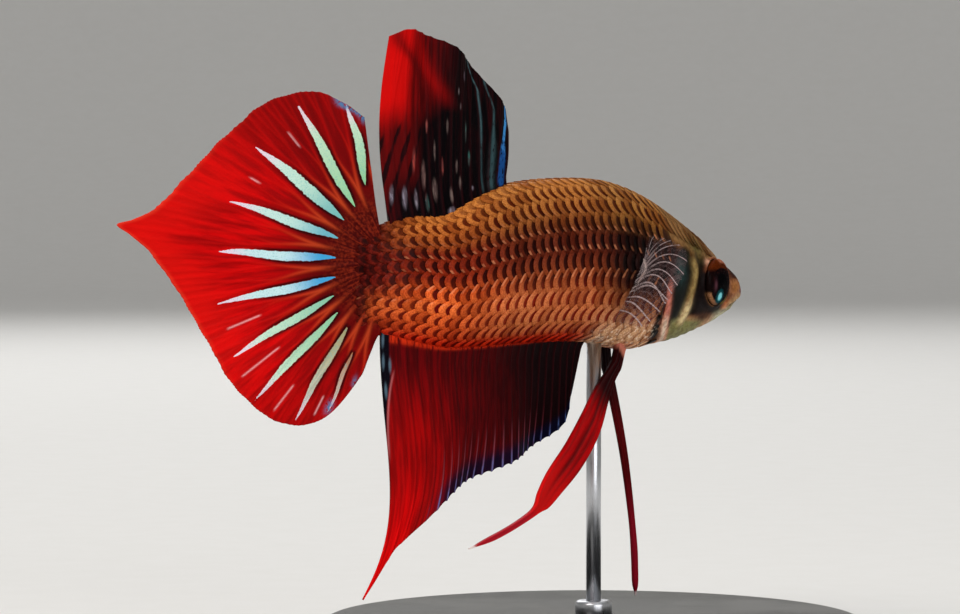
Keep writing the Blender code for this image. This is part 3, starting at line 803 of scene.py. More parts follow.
def ragged_tail(fraction, reach):
    """The free edge is uneven all round but at the point, which stands clear of it."""
    waves = np.sin(2 * math.pi * fraction * 9 + 1) + 0.7 * np.sin(2 * math.pi * fraction * 23)
    fine = np.abs(np.sin(2 * math.pi * fraction * 61 + 4 * np.sin(fraction * 40)))
    from_point = np.abs(fraction - TAIL_POINT)
    cut = rise(from_point, 0.0, 0.04) * (0.003 * (1.7 + waves) + 0.004 * fine)
    return tail_surface(fraction, reach * (1 - cut - 0.03 * band(from_point, 0.0, 0.01, 0.01, 0.035)))


def tail_thickness(reach, ray):
    return 0.15 + 1.1 * rise(reach, 0.32, 0.0) ** 1.5 + ray * blend(0.2, 0.09, reach)


def from_nearest_ray(angle, distance):
    """Degrees from the nearest branch of the tail's rays, which fork on their way out."""
    branches = [np.full(angle.shape, ray) for ray in TAIL_RAYS]
    for start, opening in TAIL_FORKS:
        spread = opening * rise(distance, start, start + FORK_LENGTH)
        branches = [branch + sign * spread for branch in branches for sign in (-1, 1)]
    return np.min([np.abs(angle - branch) for branch in branches], axis=0)


def tail_marks(fraction, reach):
    station, _, level = tail_surface(fraction, reach)
    back, up = TAIL_HUB[0] - station, level - TAIL_HUB[1]
    angle, distance = np.degrees(np.arctan2(up, back)), np.hypot(up, back)
    fleck, beside, run, tint, dash = (np.zeros(len(angle)) for _ in range(5))
    nearest = np.full(len(angle), np.inf)
    for inner_angle, outer_angle, inner, outer, width, tone, bow in TAIL_FLECKS:
        part = np.clip((distance - inner) / (outer - inner), 0.0, 1.0)
        sway = 0.05 * np.sin(9 * part + inner) - bow * np.sin(math.pi * part)
        off = np.abs(np.radians(angle - blend(inner_angle, outer_angle, part)) * distance + sway)
        half = 0.36 * width * np.sin(math.pi * part ** 0.8) ** blend(1.0, 0.8, part) + 0.02
        past = np.maximum(inner - distance, distance - outer)
        fleck = np.maximum(fleck, np.clip(1.5 - off / half, 0.0, 1.0) * (past < 0))
        # Painted shade: dark bands along both sides of each fleck, over its inner part
        along_fleck = rise(past, 0.3, 0.0) * rise(part, 0.85, 0.5)
        beside = np.maximum(beside, hump(off - half, 0.1, 0.13) * along_fleck)
        run, tint = (np.where(off < nearest, new, old) for new, old in ((part, run), (tone, tint)))
        nearest = np.minimum(off, nearest)
    for dash_angle, inner, outer in TAIL_DASHES:
        off = np.radians(np.abs(angle - dash_angle)) * distance
        along_dash = band(distance, inner, inner + 0.3, outer - 0.3, outer)
        dash = np.maximum(dash, hump(off, 0.0, 0.055) * along_dash)
    corner_line = blend(79.5, 72.5, rise(distance, 11.2, 12.9))
    upper_corner = hump(angle, corner_line, 1.3) * rise(distance, 10.6, 11.4)
    lower_corner = np.maximum(hump(angle, -67.4, 1.2) * hump(distance, 12.2, 0.5),
                              0.7 * hump(angle, -73.6, 1.0) * hump(distance, 9.7, 0.4))
    return {
        "ray": hump(np.radians(from_nearest_ray(angle, distance)) * distance, 0.0,
                    blend(0.15, 0.1, rise(distance, 6.0, 10.0))),
        "fleck": fleck, "beside": beside, "run": run, "tint": tint, "dash": dash,
        "round": np.radians(angle) * STREAK_DISTANCE, "out": distance, "reach": reach,
        "root": rise(distance, 6.0, 3.8), "inner": rise(distance, 11.0, 5.0),
        "dusk": np.maximum(rise(angle, 22.0, 56.0), 0.7 * rise(angle, -40.0, -66.0)),
        "spade": rise(reach, 0.7, 0.95) * hump(angle, 0.0, 30.0),
        "blue_edge": np.maximum(upper_corner, lower_corner),
    }


def make_fin(name, node, surface, grid, thickness, marks, material):
    """Fin on a middle surface(fraction, reach), with its rays raised on both faces."""
    bm, fraction, reach, face = slab(*grid)
    nudge = 0.002

    def spot(at, out_to):
        return place(*surface(np.clip(at, 0.0, 1.0), np.clip(out_to, 0.0, 1.0)))

    normal = np.cross(spot(fraction + nudge, reach) - spot(fraction - nudge, reach),
                      spot(fraction, reach + nudge) - spot(fraction, reach - nudge))
    normal /= np.linalg.norm(normal, axis=1, keepdims=True)
    found = marks(fraction, reach)
    offset = thickness(reach, found["ray"]) * (face - 0.5)
    shape_corners(bm, spot(fraction, reach) + normal * offset[:, None], found)
    add_piece(name, bm, material, (node,))


def streaks(here, width, length):
    """Cloudy streaks along a fin's rays; round and out count millimetres across and along them."""
    on_fin = here.node("CombineXYZ", {}, {"X": mark(here, "round") * (1 / width),
                                          "Y": mark(here, "out") * (1 / length)})
    return here.node("TexNoise", {}, {"Vector": on_fin, "Scale": 1.0, "Detail": 3.0}, "Fac")


def fin_material(name, colour_of):
    """Fin paint: colour_of(here, streak) gives the colour; rays and streaks give the relief."""
    material, here = new_material(name, {"Specular IOR Level": 0.025})
    streak = streaks(here, 0.35, 4.0)
    varying = {"Base Color": colour_of(here, streak), "Roughness": 0.42 + 0.2 * streak}
    return finish_material(material, varying, 0.03 * streak + 0.01 * noise(here, 0.1))


def tail_colour(here, streak):
    run, tint, inner = (mark(here, name) for name in ("run", "tint", "inner"))
    crumbs = noise(here, 0.22, 4.0)
    red = mixed((152, 1, 4), (200, 4, 6), stepped(streak, 0.35, 0.65))
    lit_ray = mixed((204, 14, 10), (174, 60, 28), inner)
    root = mixed((62, 6, 5), (112, 30, 14), stepped(0.5 * crumbs + 0.5 * streak, 0.42, 0.62))
    green = mixed((132, 190, 140), (206, 226, 206), run)
    blue = mixed((58, 150, 206), (190, 222, 226), stepped(run, 0.1, 0.5))
    beige = mixed((166, 106, 66), (198, 190, 180), run)
    fleck = coats(green, (blue, stepped(tint, 0.1, 0.9)), (beige, stepped(tint, 0.0, -0.6)),
                  ((226, 196, 216), stepped(run, 0.66, 0.92), 0.8),
                  ((84, 172, 176), stepped(noise(here, 0.09, 3.0), 0.5, 0.7), 0.5))
    return coats(red, ((98, 3, 5), "dusk", 0.8), ((214, 16, 10), "spade", 0.7), ((92, 3, 4), inner),
                 # The black bands beside the flecks are painted shade
                 (lit_ray, "ray", 0.25 + 0.7 * inner), ((20, 0, 4), "beside", 0.9), (root, "root"),
                 (fleck, stepped(mark(here, "fleck") + 0.6 * (crumbs - 0.5), 0.42, 0.55)),
                 ((232, 176, 178), "dash", 0.75),
                 ((52, 124, 170), "blue_edge", 0.85, stepped(crumbs, 0.35, 0.5)),
                 ((250, 90, 60), stepped(mark(here, "reach"), 0.97, 1.0), 0.25, mark(here, "spade")))


make_fin("tail_fan", "tail_fin", ragged_tail, (420, 90), tail_thickness, tail_marks,
         fin_material("tail_paint", tail_colour))


# ---- Dorsal fin
# A tall fin that stands straight up from the rear half of the back. Its first ray is short and
# blue, the membranes between the middle ones are black with grey flecks, and its rear edge is
# bright red. It is cast thin and set into the back.

DORSAL_ROOT = (13.1, 1.4)     # stations of the first and last ray at the back
DORSAL_TIPS = (               # fraction, station, level
    (0.0, 13.3, 15.2), (0.14, 11.7, 16.7), (0.29, 9.9, 18.5), (0.5, 7.3, 20.1),
    (0.7, 4.9, 21.0), (0.88, 2.9, 21.4), (1.0, 1.4, 20.8),
)
DORSAL_RAYS = 13
FIN_SEAT = 0.4                # how far a fin on the back or belly goes into the body
FIN_RIPPLE = 0.4              # how far its free edge swings to each side
# Flecks on the membranes: fraction, reach, half length as a share of the reach, half width, tone
DORSAL_FLECKS = (
    (0.96, 0.15, 0.045, 0.22, 0.9), (0.88, 0.117, 0.052, 0.27, 0.8), (0.8, 0.107, 0.046, 0.22, 0.7),
    (0.718, 0.093, 0.044, 0.22, 1.4), (0.792, 0.313, 0.064, 0.22, -1.0), (0.725, 0.24, 0.07, 0.26, -0.2),
    (0.633, 0.383, 0.048, 0.13, 0.3), (0.645, 0.167, 0.055, 0.34, -0.1), (0.578, 0.29, 0.045, 0.17, -0.6),
    (0.517, 0.12, 0.042, 0.22, 0.0), (0.463, 0.283, 0.037, 0.17, 0.2), (0.438, 0.173, 0.038, 0.13, 0.2),
    (0.688, 0.51, 0.032, 0.13, -0.5), (0.54, 0.523, 0.04, 0.13, 0.5), (0.385, 0.5, 0.06, 0.12, 1.1),
    (0.357, 0.323, 0.048, 0.15, 1.4), (0.328, 0.107, 0.015, 0.2, 0.9), (0.46, 0.75, 0.02, 0.1, 0.6),
    (0.44, 0.66, 0.02, 0.1, 0.6), (0.41, 0.86, 0.03, 0.12, 0.9), (0.53, 0.03, 0.02, 0.5, 0.8),
)


def sail(root, root_level, tips, waves, bow):
    """Middle surface of a fin from root stations on the body to its tips, rippled and bowed."""

    def surface(fraction, reach):
        foot = blend(*root, fraction)
        station = blend(foot, along(tips, 1, fraction), reach) + bow(fraction, reach)
        ripple = FIN_RIPPLE * reach ** 2 * np.sin(waves * 2 * math.pi * fraction)
        return station, ripple, blend(root_level(foot), along(tips, 2, fraction), reach)

    return surface


def off_rays(fraction, rays):
    """0 on each of a number of even rays, and near 1 between them."""
    return np.abs(np.sin(math.pi * fraction * (rays - 1))) ** 0.7


def fin_thickness(reach, ray):
    return 0.14 + 0.55 * rise(reach, 0.22, 0.0) ** 1.5 + ray * blend(0.18, 0.08, reach)


dorsal_surface = sail(DORSAL_ROOT, lambda foot: body_size(foot)[0] - FIN_SEAT, DORSAL_TIPS, 2.5,
                      lambda fraction, reach: (0.5 - 1.3 * fraction) * np.sin(math.pi * reach))


def ragged_dorsal(fraction, reach):
    notch = off_rays(fraction, DORSAL_RAYS) * rise(fraction, 1.0, 0.8)
    return dorsal_surface(fraction, reach * (1 - 0.005 * notch))


def dorsal_marks(fraction, reach):
    spacing = 1 / (DORSAL_RAYS - 1)
    count = (fraction - 0.012) / spacing
    nearest = np.abs(count - np.round(count)) * spacing
    forks = np.minimum(nearest, np.abs(nearest - 0.25 * spacing * rise(reach, 0.55, 0.9)))
    span = blend(11.7, 15.5, reach)
    fleck, tint = (np.zeros(len(fraction)) for _ in range(2))
    for at, out, half, width, tone in DORSAL_FLECKS:
        leaned = at - 0.16 * rise(at, 0.55, 0.95) * (reach - out)
        away = np.hypot((fraction - leaned) * span / (0.85 * width), (reach - out) / (1.2 * half))
        fleck = np.maximum(fleck, rise(away, 1.2, 0.3))
        tint = np.where(away < 1.6, tone, tint)
    # Two greenish rays behind the blue one lean back as they near the edge
    teal_line = 0.232 + 0.018 * rise(reach, 0.0, 0.4) + 0.015 * rise(reach, 0.6, 0.85) \
        + 0.1 * rise(reach, 0.84, 1.0)
    teal = hump((fraction - teal_line) * span, 0.0, 0.13) * (0.4 + 0.6 * rise(reach, 0.3, 0.6))
    second_line = 0.151 + 0.06 * rise(reach, 0.8, 1.0)
    second = hump((fraction - second_line) * span, 0.0, blend(0.3, 0.12, rise(reach, 0.4, 0.7)))
    blue_line = blend(0.06, 0.03, rise(reach, 0.5, 1.0))
    blue_width = blend(0.4, 0.17, rise(reach, 0.4, 0.6))
    # Black bars lean forward between the rear rays
    leaning = count + 0.45 / spacing * (reach - 0.2) * rise(fraction, 0.5, 0.8)
    off_bar = np.abs(leaning - np.round(leaning)) * spacing * span
    broken = 0.8 + 0.2 * np.sin(2 * math.pi * (4.5 * reach + np.round(leaning) / 2))
    # Line of a band of painted highlight down the upper fin
    highlight_line = blend(0.5, 0.86, rise(reach, 0.5, 1.1))
    upper = rise(reach, 0.6, 0.75)
    return {
        "ray": hump(forks * span, 0.0, 0.12), "fleck": fleck, "tint": tint, "reach": reach,
        "round": fraction * 13, "out": reach * 14,
        "bars": hump(off_bar, 0.0, 0.26) * broken * rise(reach, 0.6, 0.4),
        "red": rise(fraction - blend(0.98, 0.57, rise(reach, 0.28, 0.72)), -0.1, 0.2),
        "glow": 0.75 * rise(fraction, 0.7, 0.84) * rise(reach, 0.1, 0.3),
        # Painted shade along a fold high in the fin
        "fold": hump(fraction, blend(0.64, 0.96, rise(reach, 0.62, 1.02)), 0.04) * upper,
        "teal_ray": np.maximum(teal, 0.6 * second) * rise(reach, 0.0, 0.1),
        "blue_ray": hump((fraction - blue_line) * span, 0.0, blue_width) * rise(reach, 0.03, 0.1),
        # The bright red rear edge, and a fainter band of painted highlight down the upper fin
        "last": np.maximum(rise(fraction, 0.78, 0.88) * rise(reach, 0.46, 0.66),
                           0.35 * hump(fraction, highlight_line, 0.07) * upper),
    }


def dorsal_colour(here, streak):
    tint, ragged = mark(here, "tint"), streaks(here, 0.22, 0.9)
    red = mixed((66, 1, 3), (112, 3, 5), stepped(streak, 0.35, 0.65))
    fleck = coats(mixed((120, 104, 98), (56, 104, 98), stepped(tint, 0.5, 1.3)),
                  ((168, 66, 58), stepped(tint, 0.0, -0.8)),
                  ((150, 142, 158), stepped(tint, 0.5, 0.8), stepped(tint, 1.1, 0.95)),
                  ((60, 40, 44), stepped(ragged, 0.62, 0.45), 0.7))
    outer = stepped(mark(here, "reach") + 0.8 * (ragged - 0.5), 0.4, 0.7)
    blue = mixed((22, 70, 132), (64, 140, 204), outer)
    blue_ray = mark(here, "blue_ray") * stepped(ragged, 0.28, 0.5)
    return coats(mixed((4, 1, 4), (26, 2, 6), stepped(streak, 0.45, 0.75)), ((96, 6, 7), "glow"),
                 # The rear edge's red carries the band of painted highlight, and the fold gets painted shade
                 (red, "red"), ((206, 8, 6), "last", 0.84), ((84, 1, 3), "fold", 0.7),
                 ((8, 1, 5), stepped(mark(here, "bars") + 0.5 * (ragged - 0.5), 0.3, 0.7), 0.9),
                 (fleck, "fleck", 0.8), ((76, 112, 118), "teal_ray", 0.75, stepped(ragged, 0.25, 0.5)),
                 (blue, stepped(blue_ray, 0.15, 0.6)), ((60, 10, 14), "ray", 0.25, 1 - mark(here, "last")))


make_fin("dorsal_sail", "dorsal_fin", ragged_dorsal, (300, 120), fin_thickness, dorsal_marks,
         fin_material("dorsal_paint", dorsal_colour))


# ---- Anal fin
# A long fin under the rear of the body, cut like a sail: short and near black in front, drawn out
# to a bright red lobe and a trailing point behind. Two dozen unforked rays end in light blue tips
# along a blue-black margin. It is cast thin and set into the belly.

ANAL_ROOT = (23.3, 0.7)       # as for the dorsal fin
ANAL_TIPS = (
    (0.0, 21.7, -7.6), (0.1, 20.2, -10.0), (0.3, 16.2, -11.9), (0.5, 11.7, -13.2),
    (0.7, 7.3, -14.5), (0.84, 4.4, -16.8), (0.93, 2.0, -19.0), (1.0, -0.8, -22.8),
)
ANAL_RAYS = 25
ANAL_LOBE = 0.84              # fraction at which the dark margin gives way to the lobe
# Small flecks ahead of the rear edge: fraction, reach
ANAL_FLECKS = ((0.993, 0.115), (0.972, 0.135), (0.99, 0.228), (0.994, 0.03))


def anal_bow(fraction, reach):
    rear_edge = 0.75 * fraction ** 6 * np.sin(math.pi * reach ** 2.1)
    return fraction ** 2 * np.sin(math.pi * reach ** 1.4) + rear_edge


anal_surface = sail(ANAL_ROOT, lambda foot: body_size(foot)[1] + FIN_SEAT, ANAL_TIPS, 3, anal_bow)


def ragged_anal(fraction, reach):
    """The margin is notched between the rays, and the trailing point is thinner than its solid."""
    notch = 0.016 * off_rays(fraction, ANAL_RAYS) * rise(fraction, 0.86, 0.74)
    return anal_surface(fraction, reach * (1 - notch - 0.05 * hump(fraction, 0.955, 0.035)))


def anal_marks(fraction, reach):
    spacing = 1 / (ANAL_RAYS - 1)
    span = blend(22.6, 29.0, reach)
    off_ray = np.abs(fraction / spacing - np.round(fraction / spacing)) * spacing * span
    pale_line = 0.998 - 0.038 * (1 - np.clip((reach - 0.16) / 0.29, -0.3, 1.0)) ** 2
    away = [np.hypot((fraction - at) * span / 0.13, (reach - out) / 0.036) for at, out in ANAL_FLECKS]
    return {
        "ray": hump(off_ray, 0.0, 0.11), "round": fraction * 25, "out": reach * 14,
        "maroon": rise(fraction + 0.12 * reach, 0.28, 0.8),
        "red": rise(fraction + 0.05 * reach, 0.68, 0.98) * rise(reach, 0.06, 0.5),
        "lobe": rise(fraction, 0.86, 0.95) * rise(reach, 0.55, 0.85),
        "foot": rise(reach, 0.05, 0.025) * rise(fraction, 0.15, 0.4),
        "margin": rise(reach, 0.8, 0.93) * rise(fraction, ANAL_LOBE, 0.74),
        "pale": hump(off_ray, 0.0, 0.075) * rise(reach, 0.6, 0.85)
                * band(fraction, 0.12, 0.35, 0.78, ANAL_LOBE),
        "blue_tip": hump(off_ray, 0.0, 0.085) * rise(reach, 0.84, 0.95) * rise(fraction, ANAL_LOBE, 0.8),
        "pale_ray": hump((fraction - pale_line) * span, 0.0, 0.075) * band(reach, 0.15, 0.2, 0.42, 0.5),
        "last": rise(fraction - np.maximum(pale_line, 0.968), 0.0, 0.008) * rise(reach, 0.5, 0.42),
        "fleck": rise(np.min(away, axis=0), 1.2, 0.3),
    }


def anal_colour(here, streak):
    ragged = streaks(here, 0.25, 1.2)
    maroon = mixed((70, 1, 5), (98, 2, 7), stepped(streak, 0.4, 0.6))
    red = mixed((130, 1, 3), (170, 3, 5), stepped(streak, 0.35, 0.65))
    lobe = mixed((176, 2, 5), (222, 5, 8), stepped(streak, 0.35, 0.6))
    return coats(mixed((16, 1, 4), (34, 3, 8), mark(here, "ray")), (maroon, "maroon"), (red, "red"),
                 ((44, 1, 5), "ray", 0.45, 1 - mark(here, "lobe")), ((4, 6, 30), "margin", 0.9),
                 (lobe, "lobe"), ((196, 44, 14), "foot", stepped(ragged, 0.35, 0.5)),
                 ((156, 74, 88), "pale", 0.6),
                 ((84, 112, 176), "blue_tip", 0.75, stepped(ragged, 0.3, 0.5)), ((8, 4, 14), "last"),
                 ((84, 108, 124), "fleck", 0.8), ((190, 104, 106), "pale_ray", 0.65))


make_fin("anal_sail", "anal_fin", ragged_anal, (420, 90), fin_thickness, anal_marks,
         fin_material("anal_paint", anal_colour))


# ---- Pelvic fins
# Two narrow blades under the breast, each drawn out to a thread with a white tip. The right one
# trails back as a red leaf with darker lengthwise rays; the left one hangs almost straight. Both
# are cast thin and set into the breast.

PELVIC_SEAT = 0.9             # how far a blade's root goes into the body
# Fraction of the length, station, level, side, width
PELVIC_RIGHT = (
    (0.0, 27.1, -4.55, 1.1, 1.1), (0.12, 25.3, -6.1, 1.4, 1.3), (0.25, 23.6, -7.7, 1.7, 2.1),
    (0.4, 21.6, -9.9, 2.1, 2.8), (0.55, 18.9, -12.2, 2.5, 2.8), (0.68, 16.0, -14.2, 2.8, 2.4),
    (0.75, 14.4, -15.45, 3.0, 1.7), (0.79, 13.5, -16.1, 3.1, 0.7), (0.83, 12.4, -16.65, 3.1, 0.42),
    (0.91, 9.4, -17.7, 3.2, 0.36), (1.0, 6.1, -18.7, 3.2, 0.36),
)
PELVIC_LEFT = (
    (0.0, 27.7, -4.6, -1.1, 0.9), (0.2, 29.3, -8.0, -1.5, 0.85), (0.4, 30.9, -12.2, -1.9, 0.7),
    (0.6, 31.9, -16.2, -2.1, 0.55), (0.8, 32.6, -20.5, -2.2, 0.4), (1.0, 32.8, -24.8, -2.2, 0.3),
)


def blade(rows):
    """Middle surface of a blade along a table's line."""

    def surface(fraction, reach):
        station, level, side, width = (along(rows, column, reach) for column in (1, 2, 3, 4))
        ahead, behind = np.minimum(reach + 0.01, 1.0), np.maximum(reach - 0.01, 0.0)
        run, drop = (along(rows, column, ahead) - along(rows, column, behind) for column in (1, 2))
        point = blend(1.0, 0.2, rise(reach, 0.93, 1.0))
        off = (fraction - 0.5) * 0.96 * width * point / np.hypot(run, drop)
        return station - drop * off, side, level + run * off + PELVIC_SEAT * rise(reach, 0.06, 0.0)

    return surface


def pelvic_marks(fraction, reach):
    lines = np.maximum(hump(fraction, 0.45, 0.09), 0.6 * hump(fraction, 0.72, 0.05)) * rise(reach, 0.8, 0.6)
    edge = hump(fraction, 0.0, 0.12) + hump(fraction, 1.0, 0.12)
    # foot marks the root, which the right blade's paint darkens as painted shade under the body
    return {"ray": np.maximum(lines, edge), "line": lines, "reach": reach, "round": fraction * 2,
            "out": reach * 20, "foot": rise(reach, 0.38, 0.2), "tip": rise(reach, 0.98, 0.99)}


def pelvic_thickness(reach, ray):
    whole = 0.2 + 0.25 * rise(reach, 0.15, 0.0) + 0.12 * ray + 0.15 * rise(reach, 0.7, 0.85)
    return whole * blend(1.0, 0.25, rise(reach, 0.96, 1.0))


def right_pelvic_colour(here, streak):
    reach = mark(here, "reach")
    return coats(mixed((152, 2, 6), (184, 5, 10), stepped(streak, 0.4, 0.6)),
                 ((204, 14, 14), stepped(reach, 0.56, 0.7)), ((74, 2, 5), "line", 0.8),
                 # Painted shade darkens the root under the body
                 ((16, 1, 4), "foot", 0.95), ((176, 26, 40), stepped(reach, 0.78, 0.86)),
                 ((190, 112, 92), stepped(reach, 0.032, 0.016)), ((236, 220, 216), "tip"))


def left_pelvic_colour(here, streak):
    reach = mark(here, "reach")
    return coats(mixed((72, 1, 6), (96, 3, 9), stepped(streak, 0.4, 0.6)),
                 # Painted shade darkens the root under the body
                 ((18, 1, 4), stepped(reach, 0.34, 0.1)), ((142, 14, 34), stepped(reach, 0.5, 0.8)),
                 ((226, 200, 200), "tip"))


for side_name, rows, grid, colour_of in (("right", PELVIC_RIGHT, (20, 300), right_pelvic_colour),
                                         ("left", PELVIC_LEFT, (16, 260), left_pelvic_colour)):
    make_fin("pelvic_blade_" + side_name, "pelvic_fin_" + side_name, blade(rows), grid, pelvic_thickness,
             pelvic_marks, fin_material(f"pelvic_{side_name}_paint", colour_of))


# ---- Pectoral fins
# Small fans held out from the flanks behind the gills, cast in clear resin. Whitish rays leave a
# thick root and arch over, and the membrane between them is almost clear.

PECTORAL_ROOT = ((26.6, 2.7), (24.1, -1.6))     # station and level of the first and last ray
PECTORAL_TIPS = (             # fraction, station, level, side
    (0.0, 26.2, 5.2, 4.7), (0.2, 26.9, 4.9, 6.1), (0.4, 26.8, 4.0, 7.9), (0.6, 25.6, 2.3, 8.5),
    (0.75, 24.6, 0.8, 8.1), (0.9, 24.4, -1.2, 6.6), (1.0, 24.2, -2.1, 5.2),
)
PECTORAL_ARCH = 0.9           # how high the middle of the fan arches
# Rays: fraction at the root, fraction at the tip, how early they bend over
PECTORAL_RAYS = (
    (0.2, 0.0, 2.0), (0.22, 0.04, 1.5), (0.16, 0.15, 1.0), (0.25, 0.22, 1.0), (0.29, 0.31, 1.0),
    (0.31, 0.5, 0.9), (0.37, 0.61, 1.0), (0.38, 0.7, 1.3), (0.4, 0.76, 1.5), (0.48, 0.82, 1.7),
    (0.55, 0.8, 2.0), (0.62, 0.87, 3.0), (0.68, 0.94, 2.8), (0.83, 0.99, 2.6),
)


def flank(station, level):
    """Half width of the body at a level."""
    back, belly, half_width = body_size(station)
    cosine = np.clip((level - (back + belly) / 2) / ((back - belly) / 2), -1.0, 1.0)
    return half_width * np.sqrt(1 - cosine ** 2) ** blend(1.0, 0.8, station / STANDARD_LENGTH)


def pectoral_surface(hand):

    def surface(fraction, reach):
        root_station, root_level = (blend(*ends, fraction) for ends in zip(*PECTORAL_ROOT))
        root_side = flank(root_station, root_level) - 0.3
        station, level, side = (along(PECTORAL_TIPS, column, fraction) for column in (1, 2, 3))
        arch = PECTORAL_ARCH * np.sin(math.pi * reach) * np.sin(math.pi * fraction)
        return (blend(root_station, station, reach), hand * blend(root_side, side, reach),
                blend(root_level, level, reach) + arch)

    return surface


def pectoral_marks(fraction, reach):
    span = blend(5.2, 12.0, reach)
    ray = np.zeros(len(fraction))
    between = np.array([PECTORAL_RAYS[:-1], PECTORAL_RAYS[1:]]).mean(axis=0)
    for rays, strength in ((PECTORAL_RAYS, 1.0), (between, 0.45)):
        for start, end, bend in rays:
            path = blend(start, end, 1 - (1 - reach) ** bend) - 0.035 * np.sin(math.pi * reach)
            slant = (end - start) * bend * np.maximum(1 - reach, 0.01) ** (bend - 1) * span / 6
            away = (fraction - path) * span / np.sqrt(1 + slant ** 2)
            ray = np.maximum(ray, strength * hump(away, 0.0, blend(0.06, 0.042, reach)))
    knuckles = hump(reach, blend(0.25, 0.05, rise(fraction, 0.3, 0.65)), 0.035)
    return {"ray": ray, "veil": rise(fraction, 0.35, 0.7), "round": fraction * span, "out": reach * 6,
            "root": np.maximum(knuckles, rise(reach, 0.05, 0.02))}


def pectoral_thickness(reach, ray):
    return 0.04 + 0.3 * rise(reach, 0.16, 0.05) + blend(0.12, 0.06, reach) * ray


def pectoral_material():
    material, here = new_material("clear_fin", {"Roughness": 0.35, "Specular IOR Level": 0.2})
    ray, streak = mark(here, "ray"), streaks(here, 0.2, 1.5)
    colour = coats(mixed((104, 82, 84), (166, 148, 148), stepped(ray, 0.2, 0.7)), ((196, 176, 170), "root"))
    solid = here.maths("MAXIMUM", stepped(ray, 0.25, 0.7), 0.8 * mark(here, "root"))
    veil = 0.02 + (0.08 + 0.22 * mark(here, "veil")) * stepped(streak, 0.4, 0.7)
    alpha = here.maths("MAXIMUM", solid * (0.45 + 0.4 * stepped(streak, 0.4, 0.6)), veil)
    return finish_material(material, {"Base Color": colour, "Alpha": alpha}, 0.01 * streak)


clear_resin = pectoral_material()
for side_name, hand in (("right", 1), ("left", -1)):
    make_fin("pectoral_fan_" + side_name, "pectoral_fin_" + side_name, pectoral_surface(hand), (420, 80),
             pectoral_thickness, pectoral_marks, clear_resin)


# ---- Stand
# A turned disc of polished black acrylic with a rounded edge, and a brushed steel rod that goes up
# into the belly. A small turned collar covers the hole where the rod goes into the disc.

COLLAR_RADIUS = 1.5
COLLAR_HEIGHT = 1.4
COLLAR_SINK = 0.3             # how far the collar's foot goes into the disc
COLLAR_ROUNDING = 0.35
BASE_ROUNDING = 0.7           # radius of the disc's upper edge
BASE_EASE = 0.5               # height and width of its eased lower edge


def spun(outline, steps):
    """Round shape spun from an outline of (radius, height) points that starts on its axis."""
    bm = bmesh.new()
    verts = [bm.verts.new((radius, 0, height)) for radius, height in outline]
    edges = [bm.edges.new(pair) for pair in zip(verts, verts[1:])]
    bmesh.ops.spin(bm, geom=verts + edges, cent=(0, 0, 0), axis=(0, 0, 1), angle=2 * math.pi, steps=steps,
                   use_merge=True)
    bmesh.ops.remove_doubles(bm, verts=bm.verts[:], dist=0.0001)
    return bm


def rounded(radius, height, inset):
    """Outer corner of a turned piece: points of a quarter round at a radius and a height."""
    turns = [math.pi / 2 * step / 6 for step in range(7)]
    return [(radius - inset * (1 - math.cos(turn)), height - inset * (1 - math.sin(turn))) for turn in turns]


def acrylic_material():
    fixed = {"Specular IOR Level": 0.35, "Coat Weight": 0.15, "Coat Roughness": 0.08}
    material, here = new_material("black_acrylic", fixed)
    colour = mixed((13, 13, 15), (96, 96, 98), 0.12 * stepped(noise(here, 0.25), 0.7, 0.8))
    roughness = 0.1 + 0.12 * stepped(noise(here, 9.0, 3.0), 0.4, 0.7)
    return finish_material(material, {"Base Color": colour, "Roughness": roughness})


def steel_material():
    material, here = new_material("brushed_steel", {"Metallic": 1.0})
    stretched = here.node("Mapping", {}, {"Vector": here, "Scale": (1.0, 1.0, 0.04)})
    lines = stretched.node("TexNoise", {}, {"Vector": stretched, "Scale": 9000.0, "Detail": 3.0}, "Fac")
    colour = mixed((176, 178, 182), (206, 208, 212), lines)
    return finish_material(material, {"Base Color": colour, "Roughness": 0.2 + 0.22 * lines}, 0.006 * lines)


steel = steel_material()
stand_boxes = ([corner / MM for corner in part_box(node)] for node in ("stand_base", "stand_rod"))
(_, base), (rod_foot, rod_top) = stand_boxes
collar_top = base.z + COLLAR_HEIGHT
base_outline = [(0, 0), (base.x - BASE_EASE, 0), (base.x - 0.2 * BASE_EASE, 0.3 * BASE_EASE),
                (base.x, BASE_EASE), *rounded(base.x, base.z, BASE_ROUNDING), (0, base.z)]
collar_outline = [(0, base.z - COLLAR_SINK), (COLLAR_RADIUS, base.z - COLLAR_SINK),
                  *rounded(COLLAR_RADIUS, collar_top, COLLAR_ROUNDING), (0, collar_top)]
rod_outline = [(0, rod_foot.z), (rod_top.x, rod_foot.z), (rod_top.x, rod_top.z), (0, rod_top.z)]
add_piece("base_disc", spun(base_outline, 160), acrylic_material(), ("stand_base",))
add_piece("rod_collar", spun(collar_outline, 160), steel)
add_piece("steel_rod", spun(rod_outline, 160), steel, ("stand_rod",))


# ---- Studio
# A pale seamless table top and backdrop round the model, soft lamps, and the camera low and in
# front of the right flank.

FLOOR_RADIUS = 900.0
FLOOR_BEND = 500.0            # radius at which the floor turns up into the backdrop
WALL_HEIGHT = 1600.0
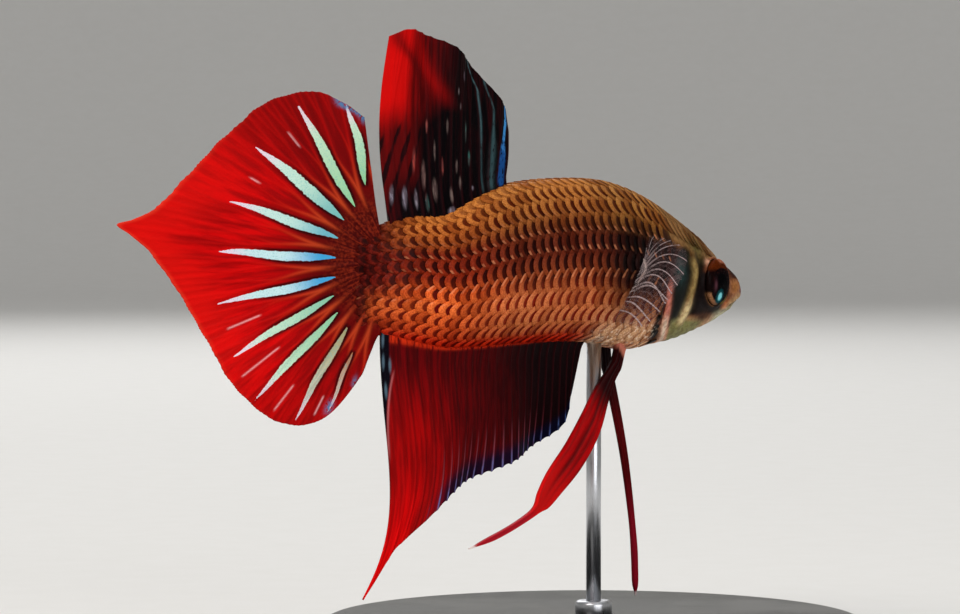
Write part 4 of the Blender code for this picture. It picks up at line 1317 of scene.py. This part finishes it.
# Lamps: name, place, size, power, tint
LAMPS = (
    ("key", (-350, -520, 620), 420, 4.6, (1.0, 0.97, 0.93)),
    ("fill", (320, -600, 110), 500, 2.2, (0.98, 0.98, 1.0)),
    ("top", (60, 120, 760), 600, 1.6, (1.0, 1.0, 1.0)),
    ("rim", (-120, 560, 380), 400, 1.2, (1.0, 1.0, 1.0)),
)
CAMERA_AIM = (-9.22, -16.99, 29.0)
CAMERA_DISTANCE = 320.0
CAMERA_DROP = math.radians(2.0)       # how far it looks down
CAMERA_LENS = 156.0

turns = [math.pi / 2 * step / 24 for step in range(25)]
bend = [(FLOOR_RADIUS + FLOOR_BEND * math.sin(turn), FLOOR_BEND * (1 - math.cos(turn))) for turn in turns]
paper, here = new_material("sweep_paper", {"Roughness": 0.9, "Specular IOR Level": 0.1})
finish_material(paper, {"Base Color": mixed((222, 221, 218), (226, 225, 223), noise(here, 4.0))})
finish_mesh("sweep", spun([(0, 0), *bend, (FLOOR_RADIUS + FLOOR_BEND, WALL_HEIGHT)], 96), paper)

scene = bpy.context.scene
for name, at, size, power, tint in LAMPS:
    lamp = bpy.data.lights.new(name, "AREA")
    lamp.size = size * MM
    lamp.energy = power
    lamp.color = tint
    holder = bpy.data.objects.new(name, lamp)
    holder.location = Vector(at) * MM
    holder.rotation_euler = (Vector((0, 0, FISH_LEVEL)) - Vector(at)).to_track_quat("-Z", "Y").to_euler()
    holder.visible_camera = False
    scene.collection.objects.link(holder)

scene.world = bpy.data.worlds.new("studio")
scene.world.use_nodes = True
backdrop = scene.world.node_tree.nodes["Background"]
backdrop.inputs["Color"].default_value = (0.9, 0.92, 0.95, 1.0)
backdrop.inputs["Strength"].default_value = 0.3
scene.view_settings.view_transform = "Standard"

camera = bpy.data.objects.new("camera", bpy.data.cameras.new("camera"))
looking = Vector((0, math.cos(CAMERA_DROP), -math.sin(CAMERA_DROP)))
camera.location = (Vector(CAMERA_AIM) - looking * CAMERA_DISTANCE) * MM
camera.rotation_euler = looking.to_track_quat("-Z", "Y").to_euler()
camera.data.lens = CAMERA_LENS
camera.data.sensor_width = 36.0
camera.data.clip_start = 0.01
scene.collection.objects.link(camera)
scene.camera = camera
